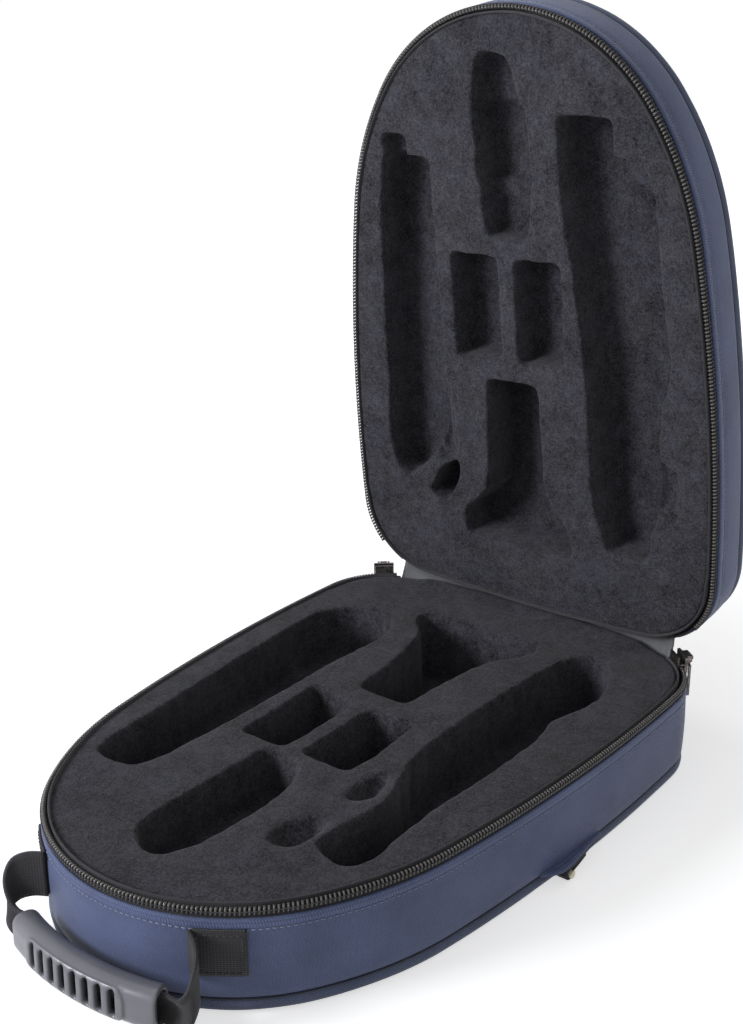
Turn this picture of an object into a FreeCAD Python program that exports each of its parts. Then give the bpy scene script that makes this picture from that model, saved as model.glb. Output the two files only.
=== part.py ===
import FreeCAD, Part
import math
import os

# Soft zip case for a clarinet, shown open. Millimetres, +Z up, the floor at z = 0.
# The narrow nose with its carry handle points along -Y, the hinge is at the wide end, +Y.
# Both shells are built the same way, outer face at zero and parting plane at the top.
# The lid is then turned over onto the base and swung open about the hinge.

# Case outline, one egg-shaped loop of tangent arcs
case_length = 380.0
case_half_width = 132.5
corner_radius = 51.0
nose_radius_share = 0.81
shoulder_radius_share = 1.39
back_radius_share = 8.83
widest_place_share = 0.552
side_drop_share = 0.1245

# Heights of the two shells, from the outer face to the parting plane
base_height = 59.1
lid_height = 42.6

# Hinge line of the fabric gusset, and how far the lid stands open
hinge_inset = 6.3
hinge_rise = 5.0
lid_open_angle = 83.0

# Shell walls
cover_thickness = 1.4
board_thickness = 3.0
panel_cover_thickness = 1.2
panel_cover_inset = 6.0
seam_height = 8.2
back_wall_drop = 3.0

# Piping along the outer edge
piping_diameter = 7.2
piping_inset = 3.2
piping_lift = 0.3
piping_gap = 0.3

# Zipper half on the rim
coil_height = 4.4
coil_depth = 3.0
coil_chamfer = 0.9
parting_gap = 1.6
tape_thickness = 0.8
tape_height = 10.0
tape_reach = 0.4
lid_coil_end_angle = 40.0

# Binding that stands inside the zipper
binding_thickness = 1.2
binding_height = 7.6
binding_gap = 0.2

# Plush lining and the foam under it
lining_thickness = 2.0
plush_drop = 1.5
lining_gap = 0.1
base_well_radius = 7.0

# Zipper slider and pull
slider_angle = 48.5
slider_length = 13.4
slider_half_height = 5.0
slider_plate = 1.8
slider_back_plate = 1.0
slider_gap = 0.3
slider_bridge_share = 0.4
bail_reach = 3.4
bail_height = 4.2
bail_centre_share = 0.5
bail_ear = 1.3
bail_gap = 5.6
bail_pin_diameter = 1.8
pull_length = 25.0
pull_width = 7.6
pull_thickness = 1.4
pull_eye_wall = 1.1
pull_eye_width = 4.6
pull_slot_width = 4.4
stop_length = 2.2
stop_height = 3.6

# Hinge gusset
gusset_thickness = 0.8
gusset_inset = 3.0
gusset_end_gap = 0.6
gusset_start_angle = 62.0

# Carry handle at the nose
webbing_width = 25.0
webbing_thickness = 1.8
anchor_spread = 2.8
anchor_length = 25.0
anchor_height_share = 0.584
handle_droop = 50.0
grip_roll = 52.0
grip_reach = 27.4
grip_bulge = 7.2
grip_half_length = 47.2
grip_thickness = 14.0
grip_height = 21.5
grip_corner = 6.0
bore_thickness = 8.6
bore_height = 17.0
bore_corner = 3.4
panel_rise = 1.0
panel_height = 17.8
panel_margin = 4.2
slot_count = 8
slot_width = 4.0
slot_length = 14.8
slot_pitch = 7.5
webbing_clearance = 0.4
strap_swell = 17.0
# The strap between nose and grip: shares across to the swell, of the reach, of the narrowing
# to the grip's bore and of the droop
strap_route_shares = [
    (0.0, 0.0, 0.0, 0.0), (0.52, 0.15, 0.0, 0.15), (0.95, 0.38, 0.0, 0.45), (0.98, 0.72, 0.3, 0.8),
    (0.55, 0.96, 0.9, 1.0),
]
through_grip_shares = [0.98, 0.66, 0.33, 0.0]

# Strap tabs at the sides
tab_nose_y = -4.0
tab_bar_y = 14.0
tab_hinge_y = 50.0
tab_reach = 7.6
tab_thickness = 1.6
tab_gap = 0.5
bar_diameter = 4.4
loop_wall = 1.5
loop_gap = 0.1
bar_overhang = 0.8

# Room that every cut runs past what it cuts
overrun = 7.0

# Wells of the moulded insert. Each outline is a list of places, as shares of the half width
# across the case and of the half length along it. Depths are shares of the foam's depth.
base_upper_joint_shares = [
    (-0.68, -0.575), (-0.715, -0.50), (-0.735, -0.30), (-0.79, 0.10), (-0.825, 0.42), (-0.825, 0.49),
    (-0.785, 0.565), (-0.70, 0.63), (-0.55, 0.65), (-0.425, 0.585), (-0.405, 0.45), (-0.43, 0.25),
    (-0.42, -0.20), (-0.435, -0.48), (-0.47, -0.565), (-0.56, -0.585),
]
base_mouthpiece_shares = [
    (-0.10, -0.80), (-0.15, -0.755), (-0.16, -0.68), (-0.15, -0.45), (-0.145, -0.29), (-0.11, -0.265),
    (0.065, -0.285), (0.12, -0.38), (0.14, -0.47), (0.135, -0.64), (0.12, -0.745), (0.06, -0.825),
    (-0.02, -0.83),
]
base_left_barrel_shares = [
    (-0.32, -0.245), (-0.094, -0.24), (-0.088, 0.03), (-0.11, 0.085), (-0.34, 0.10),
]
base_right_barrel_shares = [
    (-0.005, -0.235), (0.236, -0.235), (0.25, -0.14), (0.23, 0.09), (0.0, 0.08),
]
base_bell_shares = [
    (-0.17, 0.17), (-0.20, 0.38), (-0.24, 0.51), (-0.29, 0.605), (-0.38, 0.66), (-0.405, 0.715),
    (-0.33, 0.735), (0.25, 0.755), (0.265, 0.70), (0.235, 0.63), (0.15, 0.565), (0.12, 0.47),
    (0.10, 0.35), (0.09, 0.17),
]
base_lower_joint_shares = [
    (0.46, -0.55), (0.457, -0.50), (0.47, -0.43), (0.50, -0.34), (0.49, -0.26), (0.41, -0.12),
    (0.375, -0.01), (0.372, 0.25), (0.376, 0.44), (0.41, 0.655), (0.44, 0.74), (0.50, 0.785),
    (0.56, 0.78), (0.65, 0.735), (0.70, 0.64), (0.735, 0.55), (0.725, 0.48), (0.675, 0.37),
    (0.675, 0.31), (0.70, 0.26), (0.707, 0.14), (0.685, -0.12), (0.67, -0.20), (0.675, -0.42),
    (0.69, -0.51), (0.67, -0.56), (0.62, -0.585), (0.54, -0.58),
]
nose_pit_shares = [
    (0.32, -0.62), (0.283, -0.58), (0.295, -0.52), (0.355, -0.46), (0.41, -0.46), (0.425, -0.53),
    (0.40, -0.60),
]
side_pit_shares = [
    (0.35, -0.34), (0.335, -0.30), (0.34, -0.24), (0.36, -0.195), (0.40, -0.195), (0.43, -0.24),
    (0.43, -0.30), (0.40, -0.335),
]
lid_upper_joint_shares = [
    (-0.69, -0.54), (-0.73, -0.39), (-0.77, 0.31), (-0.79, 0.45), (-0.76, 0.55), (-0.69, 0.595),
    (-0.45, 0.44), (-0.42, 0.21), (-0.43, -0.16), (-0.44, -0.54),
]
tenon_step_shares = [(-0.69, -0.605), (-0.69, -0.50), (-0.56, -0.50), (-0.56, -0.605)]
joint_ledge_shares = [(-0.50, 0.18), (-0.41, 0.20), (-0.37, 0.44), (-0.43, 0.50), (-0.50, 0.46)]
end_pocket_shares = [(-0.47, 0.515), (-0.375, 0.475), (-0.375, 0.555), (-0.46, 0.655), (-0.56, 0.625)]
lid_mouthpiece_shares = [
    (-0.14, -0.87), (-0.18, -0.80), (-0.19, -0.64), (-0.17, -0.48), (-0.14, -0.31), (0.07, -0.31),
    (0.105, -0.48), (0.09, -0.62), (0.03, -0.78), (-0.01, -0.86),
]
cap_shares = [(-0.18, -0.72), (-0.18, -0.47), (0.10, -0.47), (0.08, -0.72)]
lid_left_barrel_shares = [(-0.347, -0.25), (-0.098, -0.25), (-0.090, 0.085), (-0.343, 0.10)]
lid_right_barrel_shares = [(-0.008, -0.25), (0.232, -0.255), (0.24, 0.08), (0.0, 0.095)]
lid_bell_shares = [
    (-0.18, 0.16), (-0.195, 0.50), (-0.22, 0.58), (-0.35, 0.66), (-0.345, 0.755), (0.255, 0.755),
    (0.25, 0.65), (0.14, 0.565), (0.11, 0.49), (0.095, 0.155),
]
lid_lower_joint_shares = [
    (0.235, -0.70), (0.245, -0.45), (0.29, -0.26), (0.335, -0.03), (0.36, 0.16), (0.365, 0.48),
    (0.40, 0.58), (0.45, 0.69), (0.66, 0.69), (0.675, 0.61), (0.715, 0.51), (0.72, 0.16),
    (0.765, 0.07), (0.765, -0.03), (0.725, -0.19), (0.70, -0.44), (0.62, -0.50), (0.50, -0.52),
    (0.495, -0.70),
]
side_key_shares = [(0.47, -0.60), (0.62, -0.585), (0.685, -0.52), (0.70, -0.40), (0.47, -0.40)]
key_recess_shares = [(0.68, 0.30), (0.83, 0.34), (0.84, 0.46), (0.80, 0.52), (0.68, 0.52)]
base_wells = [
    (base_upper_joint_shares, 0.62),
    (base_mouthpiece_shares, 0.52),
    (base_left_barrel_shares, 0.60),
    (base_right_barrel_shares, 0.60),
    (base_bell_shares, 0.87),
    (base_lower_joint_shares, 0.68),
    (nose_pit_shares, 0.20),
    (side_pit_shares, 0.20),
]
lid_wells = [
    (lid_upper_joint_shares, 0.66),
    (tenon_step_shares, 0.36),
    (joint_ledge_shares, 0.24),
    (end_pocket_shares, 0.60),
    (lid_mouthpiece_shares, 0.46),
    (cap_shares, 0.62),
    (lid_left_barrel_shares, 0.60),
    (lid_right_barrel_shares, 0.60),
    (lid_bell_shares, 0.86),
    (lid_lower_joint_shares, 0.72),
    (side_key_shares, 0.36),
    (key_recess_shares, 0.24),
]

# Lengths that follow from the ones above
half_length = case_length / 2
nose_radius = nose_radius_share * case_half_width
shoulder_radius = shoulder_radius_share * case_half_width
back_radius = back_radius_share * case_half_width
widest_y = widest_place_share * half_length
side_drop = side_drop_share * case_half_width
board_inner = cover_thickness + board_thickness
binding_outer = coil_depth + slider_gap + slider_back_plate + slider_gap
binding_inner = binding_outer + binding_thickness
lining_inset = binding_inner + lining_gap
panel_inset = piping_inset + piping_diameter / 2 + piping_gap
panel_top = panel_cover_thickness + board_thickness
piping_centre_z = piping_lift + piping_diameter / 2
coil_drop = coil_height + parting_gap / 2
rim_drop = coil_drop + tape_reach
slider_half_span = slider_length / 2 / corner_radius
stop_start = math.radians(slider_angle) + slider_half_span + slider_gap / corner_radius
anchor_inner_x = grip_half_length + anchor_spread
anchor_centre_height = anchor_height_share * base_height
hinge_y = half_length - hinge_inset
hinge_z = base_height + hinge_rise


def vec(x, y, z=0.0):
    return FreeCAD.Vector(x, y, z)


def circle_meeting(a, radius_a, b, radius_b, pick):
    """The point at radius_a from a and radius_b from b that pick prefers."""
    reach = (b - a).Length
    along = (radius_a ** 2 - radius_b ** 2 + reach ** 2) / (2 * reach)
    aside = math.sqrt(radius_a ** 2 - along ** 2)
    unit = (b - a) / reach
    middle = a + unit * along
    side = vec(-unit.y, unit.x) * aside
    return max([middle + side, middle - side], key=pick)


def heading(a, b):
    """Angle of the line from a to b."""
    return math.atan2(b.y - a.y, b.x - a.x)


def outline_arcs():
    """The right half of the rim outline as arcs (centre, radius, from angle, to angle)."""
    nose = vec(0, nose_radius - half_length)
    run = widest_y - nose.y
    side_radius = run ** 2 / (2 * side_drop) + side_drop / 2
    side = vec(case_half_width - side_radius, widest_y)
    back = vec(0, half_length - back_radius)
    shoulder = circle_meeting(
        nose, shoulder_radius - nose_radius, side, side_radius - shoulder_radius, lambda p: p.y)
    corner = circle_meeting(
        side, side_radius - corner_radius, back, back_radius - corner_radius, lambda p: p.x)
    nose_end = heading(shoulder, nose)
    shoulder_end = heading(side, shoulder)
    side_end = heading(side, corner)
    corner_end = heading(back, corner)
    return [
        (nose, nose_radius, -math.pi / 2, nose_end),
        (shoulder, shoulder_radius, nose_end, shoulder_end),
        (side, side_radius, shoulder_end, side_end),
        (corner, corner_radius, side_end, corner_end),
        (back, back_radius, corner_end, math.pi / 2),
    ]


ARCS = outline_arcs()
NOSE_CENTRE = ARCS[0][0]
CORNER_CENTRE = ARCS[3][0]


def on_arc(arc, angle, offset, z):
    centre, radius = arc[0], arc[1]
    reach = radius + offset
    return vec(centre.x + reach * math.cos(angle), centre.y + reach * math.sin(angle), z)


def mirrored_point(p):
    return vec(-p.x, p.y, p.z)


def outline_wire(offset, z):
    """The whole rim outline, moved outwards by offset."""
    right = []
    left = []
    for arc in ARCS:
        start, end = arc[2], arc[3]
        points = [on_arc(arc, a, offset, z) for a in (start, (start + end) / 2, end)]
        right.append(Part.Arc(*points).toShape())
        left.append(Part.Arc(*[mirrored_point(p) for p in reversed(points)]).toShape())
    return Part.Wire(right + left[::-1])


def plate(offset, z_low, z_high):
    """A slab with the rim's outline."""
    return Part.Face(outline_wire(offset, z_low)).extrude(vec(0, 0, z_high - z_low))


def ring(outer, inner, z_low, z_high):
    """A wall with the rim's outline, from offset outer in to offset inner."""
    return plate(outer, z_low, z_high).cut(plate(inner, z_low - overrun, z_high + overrun))


def swept(section_at):
    """A closed section carried all round the outline. section_at(arc, angle) gives its face."""
    segments = []
    for arc in ARCS:
        face = section_at(arc, arc[2])
        turned = face.revolve(arc[0], vec(0, 0, 1), math.degrees(arc[3] - arc[2]))
        segments.append(turned)
        segments.append(turned.mirror(vec(0, 0), vec(1, 0)))
    return segments[0].multiFuse(segments[1:]).removeSplitter()


def polygon_section(points):
    """Section for swept(), from (offset, z) places."""
    def section_at(arc, angle):
        places = [on_arc(arc, angle, offset, z) for offset, z in points]
        return Part.Face(Part.makePolygon(places + places[:1]))
    return section_at


def round_section(offset, z, radius):
    """Round section for swept()."""
    def section_at(arc, angle):
        tangent = vec(-math.sin(angle), math.cos(angle))
        return Part.Face(Part.Wire(Part.makeCircle(radius, on_arc(arc, angle, offset, z), tangent)))
    return section_at


def behind_angle(angle, z_low, z_high):
    """Prism over the hinge end, behind the given angle of each corner arc."""
    reach = case_length
    turn = math.radians(angle)
    corner = CORNER_CENTRE
    tip = vec(corner.x + reach * math.cos(turn), corner.y + reach * math.sin(turn))
    right = [vec(corner.x, corner.y), tip, vec(tip.x, tip.y + reach)]
    points = right + [mirrored_point(p) for p in reversed(right)]
    face = Part.Face(Part.makePolygon(points + points[:1]))
    face.translate(vec(0, 0, z_low))
    return face.extrude(vec(0, 0, z_high - z_low))


def well_prism(shares, grow, z_low, z_high):
    """A well as a prism with rounded corners, grown sideways by grow."""
    points = [vec(x * case_half_width, y * half_length, z_low) for x, y in shares]
    face = Part.Face(Part.makePolygon(points + points[:1]))
    core = face.makeOffset2D(-base_well_radius / 2)
    rounded = core.makeOffset2D(base_well_radius / 2 + grow)
    return rounded.extrude(vec(0, 0, z_high - z_low))


def fused(solids):
    """Several solids as one."""
    return solids[0].multiFuse(solids[1:])


def build_shell(height, wells):
    """The pieces of one shell, outer face at zero and parting plane at height."""
    rim = height - rim_drop
    back_rim = rim - back_wall_drop
    high = height + overrun
    tape_low = rim - tape_height + tape_reach
    above_back_rim = behind_angle(gusset_start_angle, back_rim, high)

    wall = ring(-cover_thickness, -board_inner, seam_height, rim)
    rebate = ring(-cover_thickness, -(cover_thickness + tape_thickness), tape_low, high)
    tape = ring(-cover_thickness, -(cover_thickness + tape_thickness), tape_low, rim + tape_reach)
    coil_low = rim + tape_reach
    coil_top = height - parting_gap / 2
    coil = swept(polygon_section([
        (-coil_chamfer, coil_low), (0, coil_low + coil_chamfer), (0, coil_top - coil_chamfer),
        (-coil_chamfer, coil_top), (coil_chamfer - coil_depth, coil_top),
        (-coil_depth, coil_top - coil_chamfer), (-coil_depth, coil_low + coil_chamfer),
        (coil_chamfer - coil_depth, coil_low),
    ]))
    binding_top = height - binding_gap
    binding = ring(-binding_outer, -binding_inner, binding_top - binding_height, binding_top)

    plush_top = height - plush_drop
    foam_top = plush_top - lining_thickness
    foam_depth = plush_top - panel_top
    foam = plate(-panel_inset, panel_top, seam_height).fuse(plate(-lining_inset, seam_height, foam_top))
    lining = plate(-lining_inset, foam_top, plush_top)
    holes = []
    cups = []
    for shares, depth_share in wells:
        floor = plush_top - depth_share * foam_depth
        holes.append(well_prism(shares, 0, floor, high))
        cups.append(well_prism(shares, lining_thickness, floor - lining_thickness, foam_top))
    cup_block = fused(cups)
    hole_block = fused(holes)
    foam = foam.cut(cup_block).removeSplitter()
    lining = lining.fuse(cup_block).cut(hole_block).removeSplitter()

    return {
        "panel_cover": plate(-panel_cover_inset, 0, panel_cover_thickness),
        "panel_board": plate(-panel_inset, panel_cover_thickness, panel_top),
        "piping": swept(round_section(-piping_inset, piping_centre_z, piping_diameter / 2)),
        "side_cover": ring(0, -cover_thickness, seam_height, rim).cut(above_back_rim),
        "wall_frame": wall.cut(rebate).cut(above_back_rim),
        "zip_tape": tape.cut(behind_angle(gusset_start_angle, 0, high)),
        "zip_coil": coil,
        "rim_binding": binding,
        "foam_insert": foam,
        "plush_lining": lining,
    }


def opened(shape):
    """A piece of the closed lid, swung open about the hinge."""
    turned = shape.copy()
    turned.rotate(vec(0, hinge_y, hinge_z), vec(-1, 0, 0), lid_open_angle)
    return turned


def closed_lid(shape):
    """A shell built outer face down, turned over onto the base."""
    return shape.mirror(vec(0, 0, 0), vec(0, 0, 1)).translated(vec(0, 0, base_height + lid_height))


def base_pieces():
    shell = build_shell(base_height, base_wells)
    high = base_height + overrun
    binding_cut = behind_angle(gusset_start_angle, base_height - rim_drop - back_wall_drop / 2, high)
    return {
        "base_floor_cover": shell["panel_cover"],
        "base_floor_board": shell["panel_board"],
        "base_piping": shell["piping"],
        "base_side_cover": shell["side_cover"],
        "base_wall_frame": shell["wall_frame"],
        "base_zip_tape": shell["zip_tape"],
        "base_zip_coil": shell["zip_coil"].cut(behind_angle(math.degrees(stop_start), 0, high)),
        "base_rim_binding": shell["rim_binding"].cut(binding_cut),
        "base_foam_insert": shell["foam_insert"],
        "base_plush_lining": shell["plush_lining"],
    }


def lid_pieces():
    shell = build_shell(lid_height, lid_wells)
    high = lid_height + overrun
    shell["zip_coil"] = shell["zip_coil"].cut(behind_angle(lid_coil_end_angle, 0, high))
    names = {"panel_cover": "lid_top_cover", "panel_board": "lid_top_board"}
    return {
        names.get(name, "lid_" + name): opened(closed_lid(shape)) for name, shape in shell.items()
    }


def sector(inner, outer, z_low, z_high, start, end):
    """Part of a round wall about the right corner's centre, between two angles in radians."""
    corner = vec(CORNER_CENTRE.x, CORNER_CENTRE.y, z_low)
    up = vec(0, 0, 1)
    height = z_high - z_low
    span = math.degrees(end - start)
    solid = Part.makeCylinder(corner_radius + outer, height, corner, up, span)
    core = Part.makeCylinder(corner_radius + inner, height, corner, up, span)
    solid = solid.cut(core)
    solid.rotate(corner, up, math.degrees(start))
    return solid


def box_at(x_low, x_high, y_low, y_high, z_low, z_high):
    return Part.makeBox(x_high - x_low, y_high - y_low, z_high - z_low, vec(x_low, y_low, z_low))


def zip_slider():
    """The right slider, level with +X: two plates, the bridge between them and the pull's bail."""
    low = base_height - slider_half_height
    high = base_height + slider_half_height
    face = slider_gap + slider_plate
    back_outer = -(coil_depth + slider_gap)
    back_inner = back_outer - slider_back_plate
    half_bridge = parting_gap / 2 - slider_gap
    bridge_end = (2 * slider_bridge_share - 1) * slider_half_span
    front = sector(slider_gap, face, low, high, -slider_half_span, slider_half_span)
    back = sector(back_inner, back_outer, low, high, -slider_half_span, slider_half_span)
    bridge = sector(back_inner, face, base_height - half_bridge, base_height + half_bridge,
                    -slider_half_span, bridge_end)
    centre = bail_centre()
    ear_end = bail_gap / 2 + bail_ear
    root_x = CORNER_CENTRE.x + corner_radius + face - slider_plate / 2
    tip_x = centre.x + bail_pin_diameter / 2
    ears = [
        box_at(root_x, tip_x, centre.y + y, centre.y + y + bail_ear,
               centre.z - bail_height / 2, centre.z + bail_height / 2)
        for y in (-ear_end, bail_gap / 2)
    ]
    pin = Part.makeCylinder(
        bail_pin_diameter / 2, 2 * ear_end, vec(centre.x, centre.y - ear_end, centre.z), vec(0, 1, 0))
    return fused([front, back, bridge, pin] + ears)


def bail_centre():
    """Middle of the right bail's pin while the slider is level with +X."""
    reach = corner_radius + slider_gap + slider_plate + bail_reach - bail_pin_diameter / 2
    return vec(CORNER_CENTRE.x + reach, CORNER_CENTRE.y,
               base_height + bail_centre_share * slider_half_height)


def zip_pull():
    """The right pull, level with +X, hanging from its eye."""
    centre = bail_centre()
    bore = bail_pin_diameter / 2 + slider_gap
    neck_top = centre.z - bore
    neck_low = neck_top - 3 * pull_eye_wall
    end = centre.z - pull_length
    rim = (pull_width - pull_slot_width) / 2
    eye = Part.makeCylinder(bore + pull_eye_wall, pull_eye_width,
                            vec(centre.x, centre.y - pull_eye_width / 2, centre.z), vec(0, 1, 0))
    hole = Part.makeCylinder(bore, 2 * pull_eye_width,
                             vec(centre.x, centre.y - pull_eye_width, centre.z), vec(0, 1, 0))

    def slab(width, low, high, thickness):
        return box_at(centre.x - thickness / 2, centre.x + thickness / 2,
                      centre.y - width / 2, centre.y + width / 2, low, high)

    neck = slab(pull_eye_width, neck_low, neck_top, pull_thickness)
    blade = slab(pull_width, end, neck_low, pull_thickness)
    slot = slab(pull_slot_width, end + rim, neck_low - rim, 2 * pull_thickness)
    return fused([eye, neck, blade]).cut(slot).cut(hole)


def zip_end_stop():
    """Clamp on the coil's last teeth, just behind the right slider."""
    low = base_height - coil_drop
    return sector(-coil_depth, -coil_chamfer / 2, low, low + stop_height,
                  stop_start, stop_start + stop_length / corner_radius)


def zipper_end_pieces():
    """Slider, pull and end stop at the right corner, where the open zipper leaves them."""
    centre = vec(CORNER_CENTRE.x, CORNER_CENTRE.y)
    slider = zip_slider()
    pull = zip_pull()
    for shape in (slider, pull):
        shape.rotate(centre, vec(0, 0, 1), slider_angle)
    return {"zip_slider": slider, "zip_pull": pull, "zip_end_stop": zip_end_stop()}


def opened_point(p):
    """A point of the closed lid, swung open about the hinge."""
    turn = math.radians(lid_open_angle)
    y = p.y - hinge_y
    z = p.z - hinge_z
    return vec(p.x, hinge_y + y * math.cos(turn) + z * math.sin(turn),
               hinge_z - y * math.sin(turn) + z * math.cos(turn))


def gusset():
    """Fabric web from the base's back edge up to the open lid's edge."""
    corner_arc, back_arc = ARCS[3], ARCS[4]
    start = math.radians(gusset_start_angle)
    corner_angles = [start + (corner_arc[3] - start) * i / 3 for i in range(3)]
    back_angles = [back_arc[2] + (back_arc[3] - back_arc[2]) * i / 2 for i in range(3)]
    stations = [(corner_arc, a) for a in corner_angles] + [(back_arc, a) for a in back_angles]
    rim = base_height - rim_drop - back_wall_drop + gusset_end_gap
    lid_rim = base_height + rim_drop + back_wall_drop - gusset_end_gap
    sections = []
    for arc, angle in stations:
        lower = on_arc(arc, angle, -gusset_inset, rim)
        upper = opened_point(on_arc(arc, angle, -gusset_inset, lid_rim))
        outward = vec(math.cos(angle), math.sin(angle)) * (gusset_thickness / 2)
        sections.append([lower - outward, lower + outward, upper + outward, upper - outward])
    mirrored = [[mirrored_point(p) for p in section] for section in reversed(sections[:-1])]
    wires = [Part.makePolygon(section + section[:1]) for section in sections + mirrored]
    return Part.makeLoft(wires, True, True)


def handle_axis():
    """Middle of the line about which the handle swings, on the nose between the anchors."""
    reach = nose_radius + webbing_thickness / 2
    return vec(0, NOSE_CENTRE.y - math.sqrt(reach ** 2 - anchor_inner_x ** 2), anchor_centre_height)


def grip_chord():
    """Middle of the line between the grip's two ends, with the handle held straight out."""
    axis = handle_axis()
    return vec(0, axis.y - grip_reach, axis.z)


def grip_arc():
    """Centre and radius of the grip's centre line, and the angle of each end."""
    radius = (grip_half_length ** 2 + grip_bulge ** 2) / (2 * grip_bulge)
    chord = grip_chord()
    centre = vec(0, chord.y - grip_bulge + radius, chord.z)
    return centre, radius, math.asin(grip_half_length / radius)


def hung(shape):
    """A piece of the straight handle, rolled about the grip's chord and let down at the axis."""
    turned = shape.copy()
    turned.rotate(grip_chord(), vec(-1, 0, 0), grip_roll)
    turned.rotate(handle_axis(), vec(-1, 0, 0), -handle_droop)
    return turned


def hung_point(p, pivot, amount_share):
    """A point of the straight handle, rolled about pivot and let down by a share of the way."""
    roll = FreeCAD.Rotation(vec(-1, 0, 0), grip_roll * amount_share)
    droop = FreeCAD.Rotation(vec(-1, 0, 0), -handle_droop * amount_share)
    axis = handle_axis()
    return axis + droop.multVec(pivot + roll.multVec(p - pivot) - axis)


def rounded_rectangle(centre, across, up, width, height, corner):
    """Face with rounded corners in the plane of across and up."""
    half_w = width / 2 - corner
    half_h = height / 2 - corner
    corners = [(half_w, half_h, 0), (-half_w, half_h, 90), (-half_w, -half_h, 180), (half_w, -half_h, 270)]

    def place(x, z, degrees):
        turn = math.radians(degrees)
        return centre + across * (x + corner * math.cos(turn)) + up * (z + corner * math.sin(turn))

    edges = []
    for i, (x, z, start) in enumerate(corners):
        points = [place(x, z, start + step) for step in (0, 45, 90)]
        edges.append(Part.Arc(*points).toShape())
        edges.append(Part.makeLine(points[2], place(*corners[(i + 1) % 4])))
    return Part.Face(Part.Wire(edges))


def round_ended_slot(near, far):
    """One upright slot, cut along -Y from near to far."""
    half_width = slot_width / 2
    straight = slot_length / 2 - half_width
    slot = box_at(-half_width, half_width, -far, -near, -straight, straight)
    ends = [Part.makeCylinder(half_width, far - near, vec(0, -far, z), vec(0, 1, 0))
            for z in (-straight, straight)]
    return slot.fuse(ends)


def grip():
    """Moulded grip: a bent tube with a raised panel and slots through to the webbing."""
    centre, radius, end = grip_arc()
    start_dir = vec(math.sin(-end), -math.cos(end))
    up = vec(0, 0, 1)
    start = centre + start_dir * radius
    outer = rounded_rectangle(start, start_dir, up, grip_thickness, grip_height, grip_corner)
    bore = rounded_rectangle(start, start_dir, up, bore_thickness, bore_height, bore_corner)
    body = outer.revolve(centre, up, math.degrees(2 * end))
    hollow = bore.revolve(centre, up, math.degrees(2 * end))

    half_panel = slot_pitch * (slot_count - 1) / 2 + slot_width / 2 + panel_margin
    panel_turn = math.degrees(half_panel / radius)
    face = radius + grip_thickness / 2
    low = vec(centre.x, centre.y, centre.z - panel_height / 2)
    panel = Part.makeCylinder(face + panel_rise, panel_height, low, up, 2 * panel_turn)
    panel = panel.cut(Part.makeCylinder(radius, panel_height, low, up, 2 * panel_turn))
    panel.rotate(centre, up, -90 - panel_turn)
    solid = body.fuse(panel).cut(hollow)
    slots = []
    for i in range(slot_count):
        slot = round_ended_slot(radius, face + 2 * panel_rise)
        slot.translate(centre)
        slot.rotate(centre, up, math.degrees((i - (slot_count - 1) / 2) * slot_pitch / radius))
        slots.append(slot)
    return hung(solid.cut(fused(slots)))


def handle_webbing():
    """One band from anchor to anchor: out from the nose, round into the grip and through it."""
    centre, radius, end = grip_arc()
    axis = handle_axis()
    inside_height = bore_height - 2 * webbing_clearance
    patch_x = anchor_inner_x * (1 + webbing_thickness / nose_radius)
    fold_x = patch_x - webbing_clearance - webbing_thickness / 2
    stations = []
    for across_share, reach_share, narrow_share, droop_share in strap_route_shares:
        x = fold_x + across_share * (grip_half_length + strap_swell - fold_x)
        place = vec(x, axis.y - webbing_thickness / 2 - reach_share * grip_reach, axis.z)
        height = webbing_width + narrow_share * (inside_height - webbing_width)
        stations.append((place, place, height, droop_share))
    for turn_share in through_grip_shares:
        turn = turn_share * end
        place = centre + vec(math.sin(turn), -math.cos(turn)) * radius
        stations.append((place, grip_chord(), inside_height, 1))
    places = [stations[0][0]] + [station[0] for station in stations]
    places.append(mirrored_point(places[-2]))
    sections = []
    for i, (place, pivot, height, droop_share) in enumerate(stations):
        along = (places[i + 2] - places[i]).normalize()
        out = vec(-along.y, along.x) * (webbing_thickness / 2)
        corners = []
        for side, level in ((-1, -1), (1, -1), (1, 1), (-1, 1)):
            corner = place + out * side + vec(0, 0, level * height / 2)
            corners.append(hung_point(corner, pivot, droop_share))
        sections.append(corners)
    mirrored = [[mirrored_point(p) for p in section] for section in reversed(sections[:-1])]
    wires = [Part.makePolygon(section + section[:1]) for section in sections + mirrored]
    return Part.makeLoft(wires, True, True)


def handle_anchor():
    """Right end of the webbing, sewn flat to the side of the nose."""
    start = -math.acos(anchor_inner_x / nose_radius)
    span = anchor_length / nose_radius
    low = vec(NOSE_CENTRE.x, NOSE_CENTRE.y, anchor_centre_height - webbing_width / 2)
    up = vec(0, 0, 1)
    outer = Part.makeCylinder(nose_radius + webbing_thickness, webbing_width, low, up, math.degrees(span))
    inner = Part.makeCylinder(nose_radius, webbing_width, low, up, math.degrees(span))
    patch = outer.cut(inner)
    patch.rotate(low, up, math.degrees(start))
    return patch


def side_x(y, offset):
    """Place of the right side at y, moved outwards by offset."""
    centre, radius = ARCS[2][0], ARCS[2][1]
    reach = radius + offset
    return centre.x + math.sqrt(reach ** 2 - (y - centre.y) ** 2)


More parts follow.
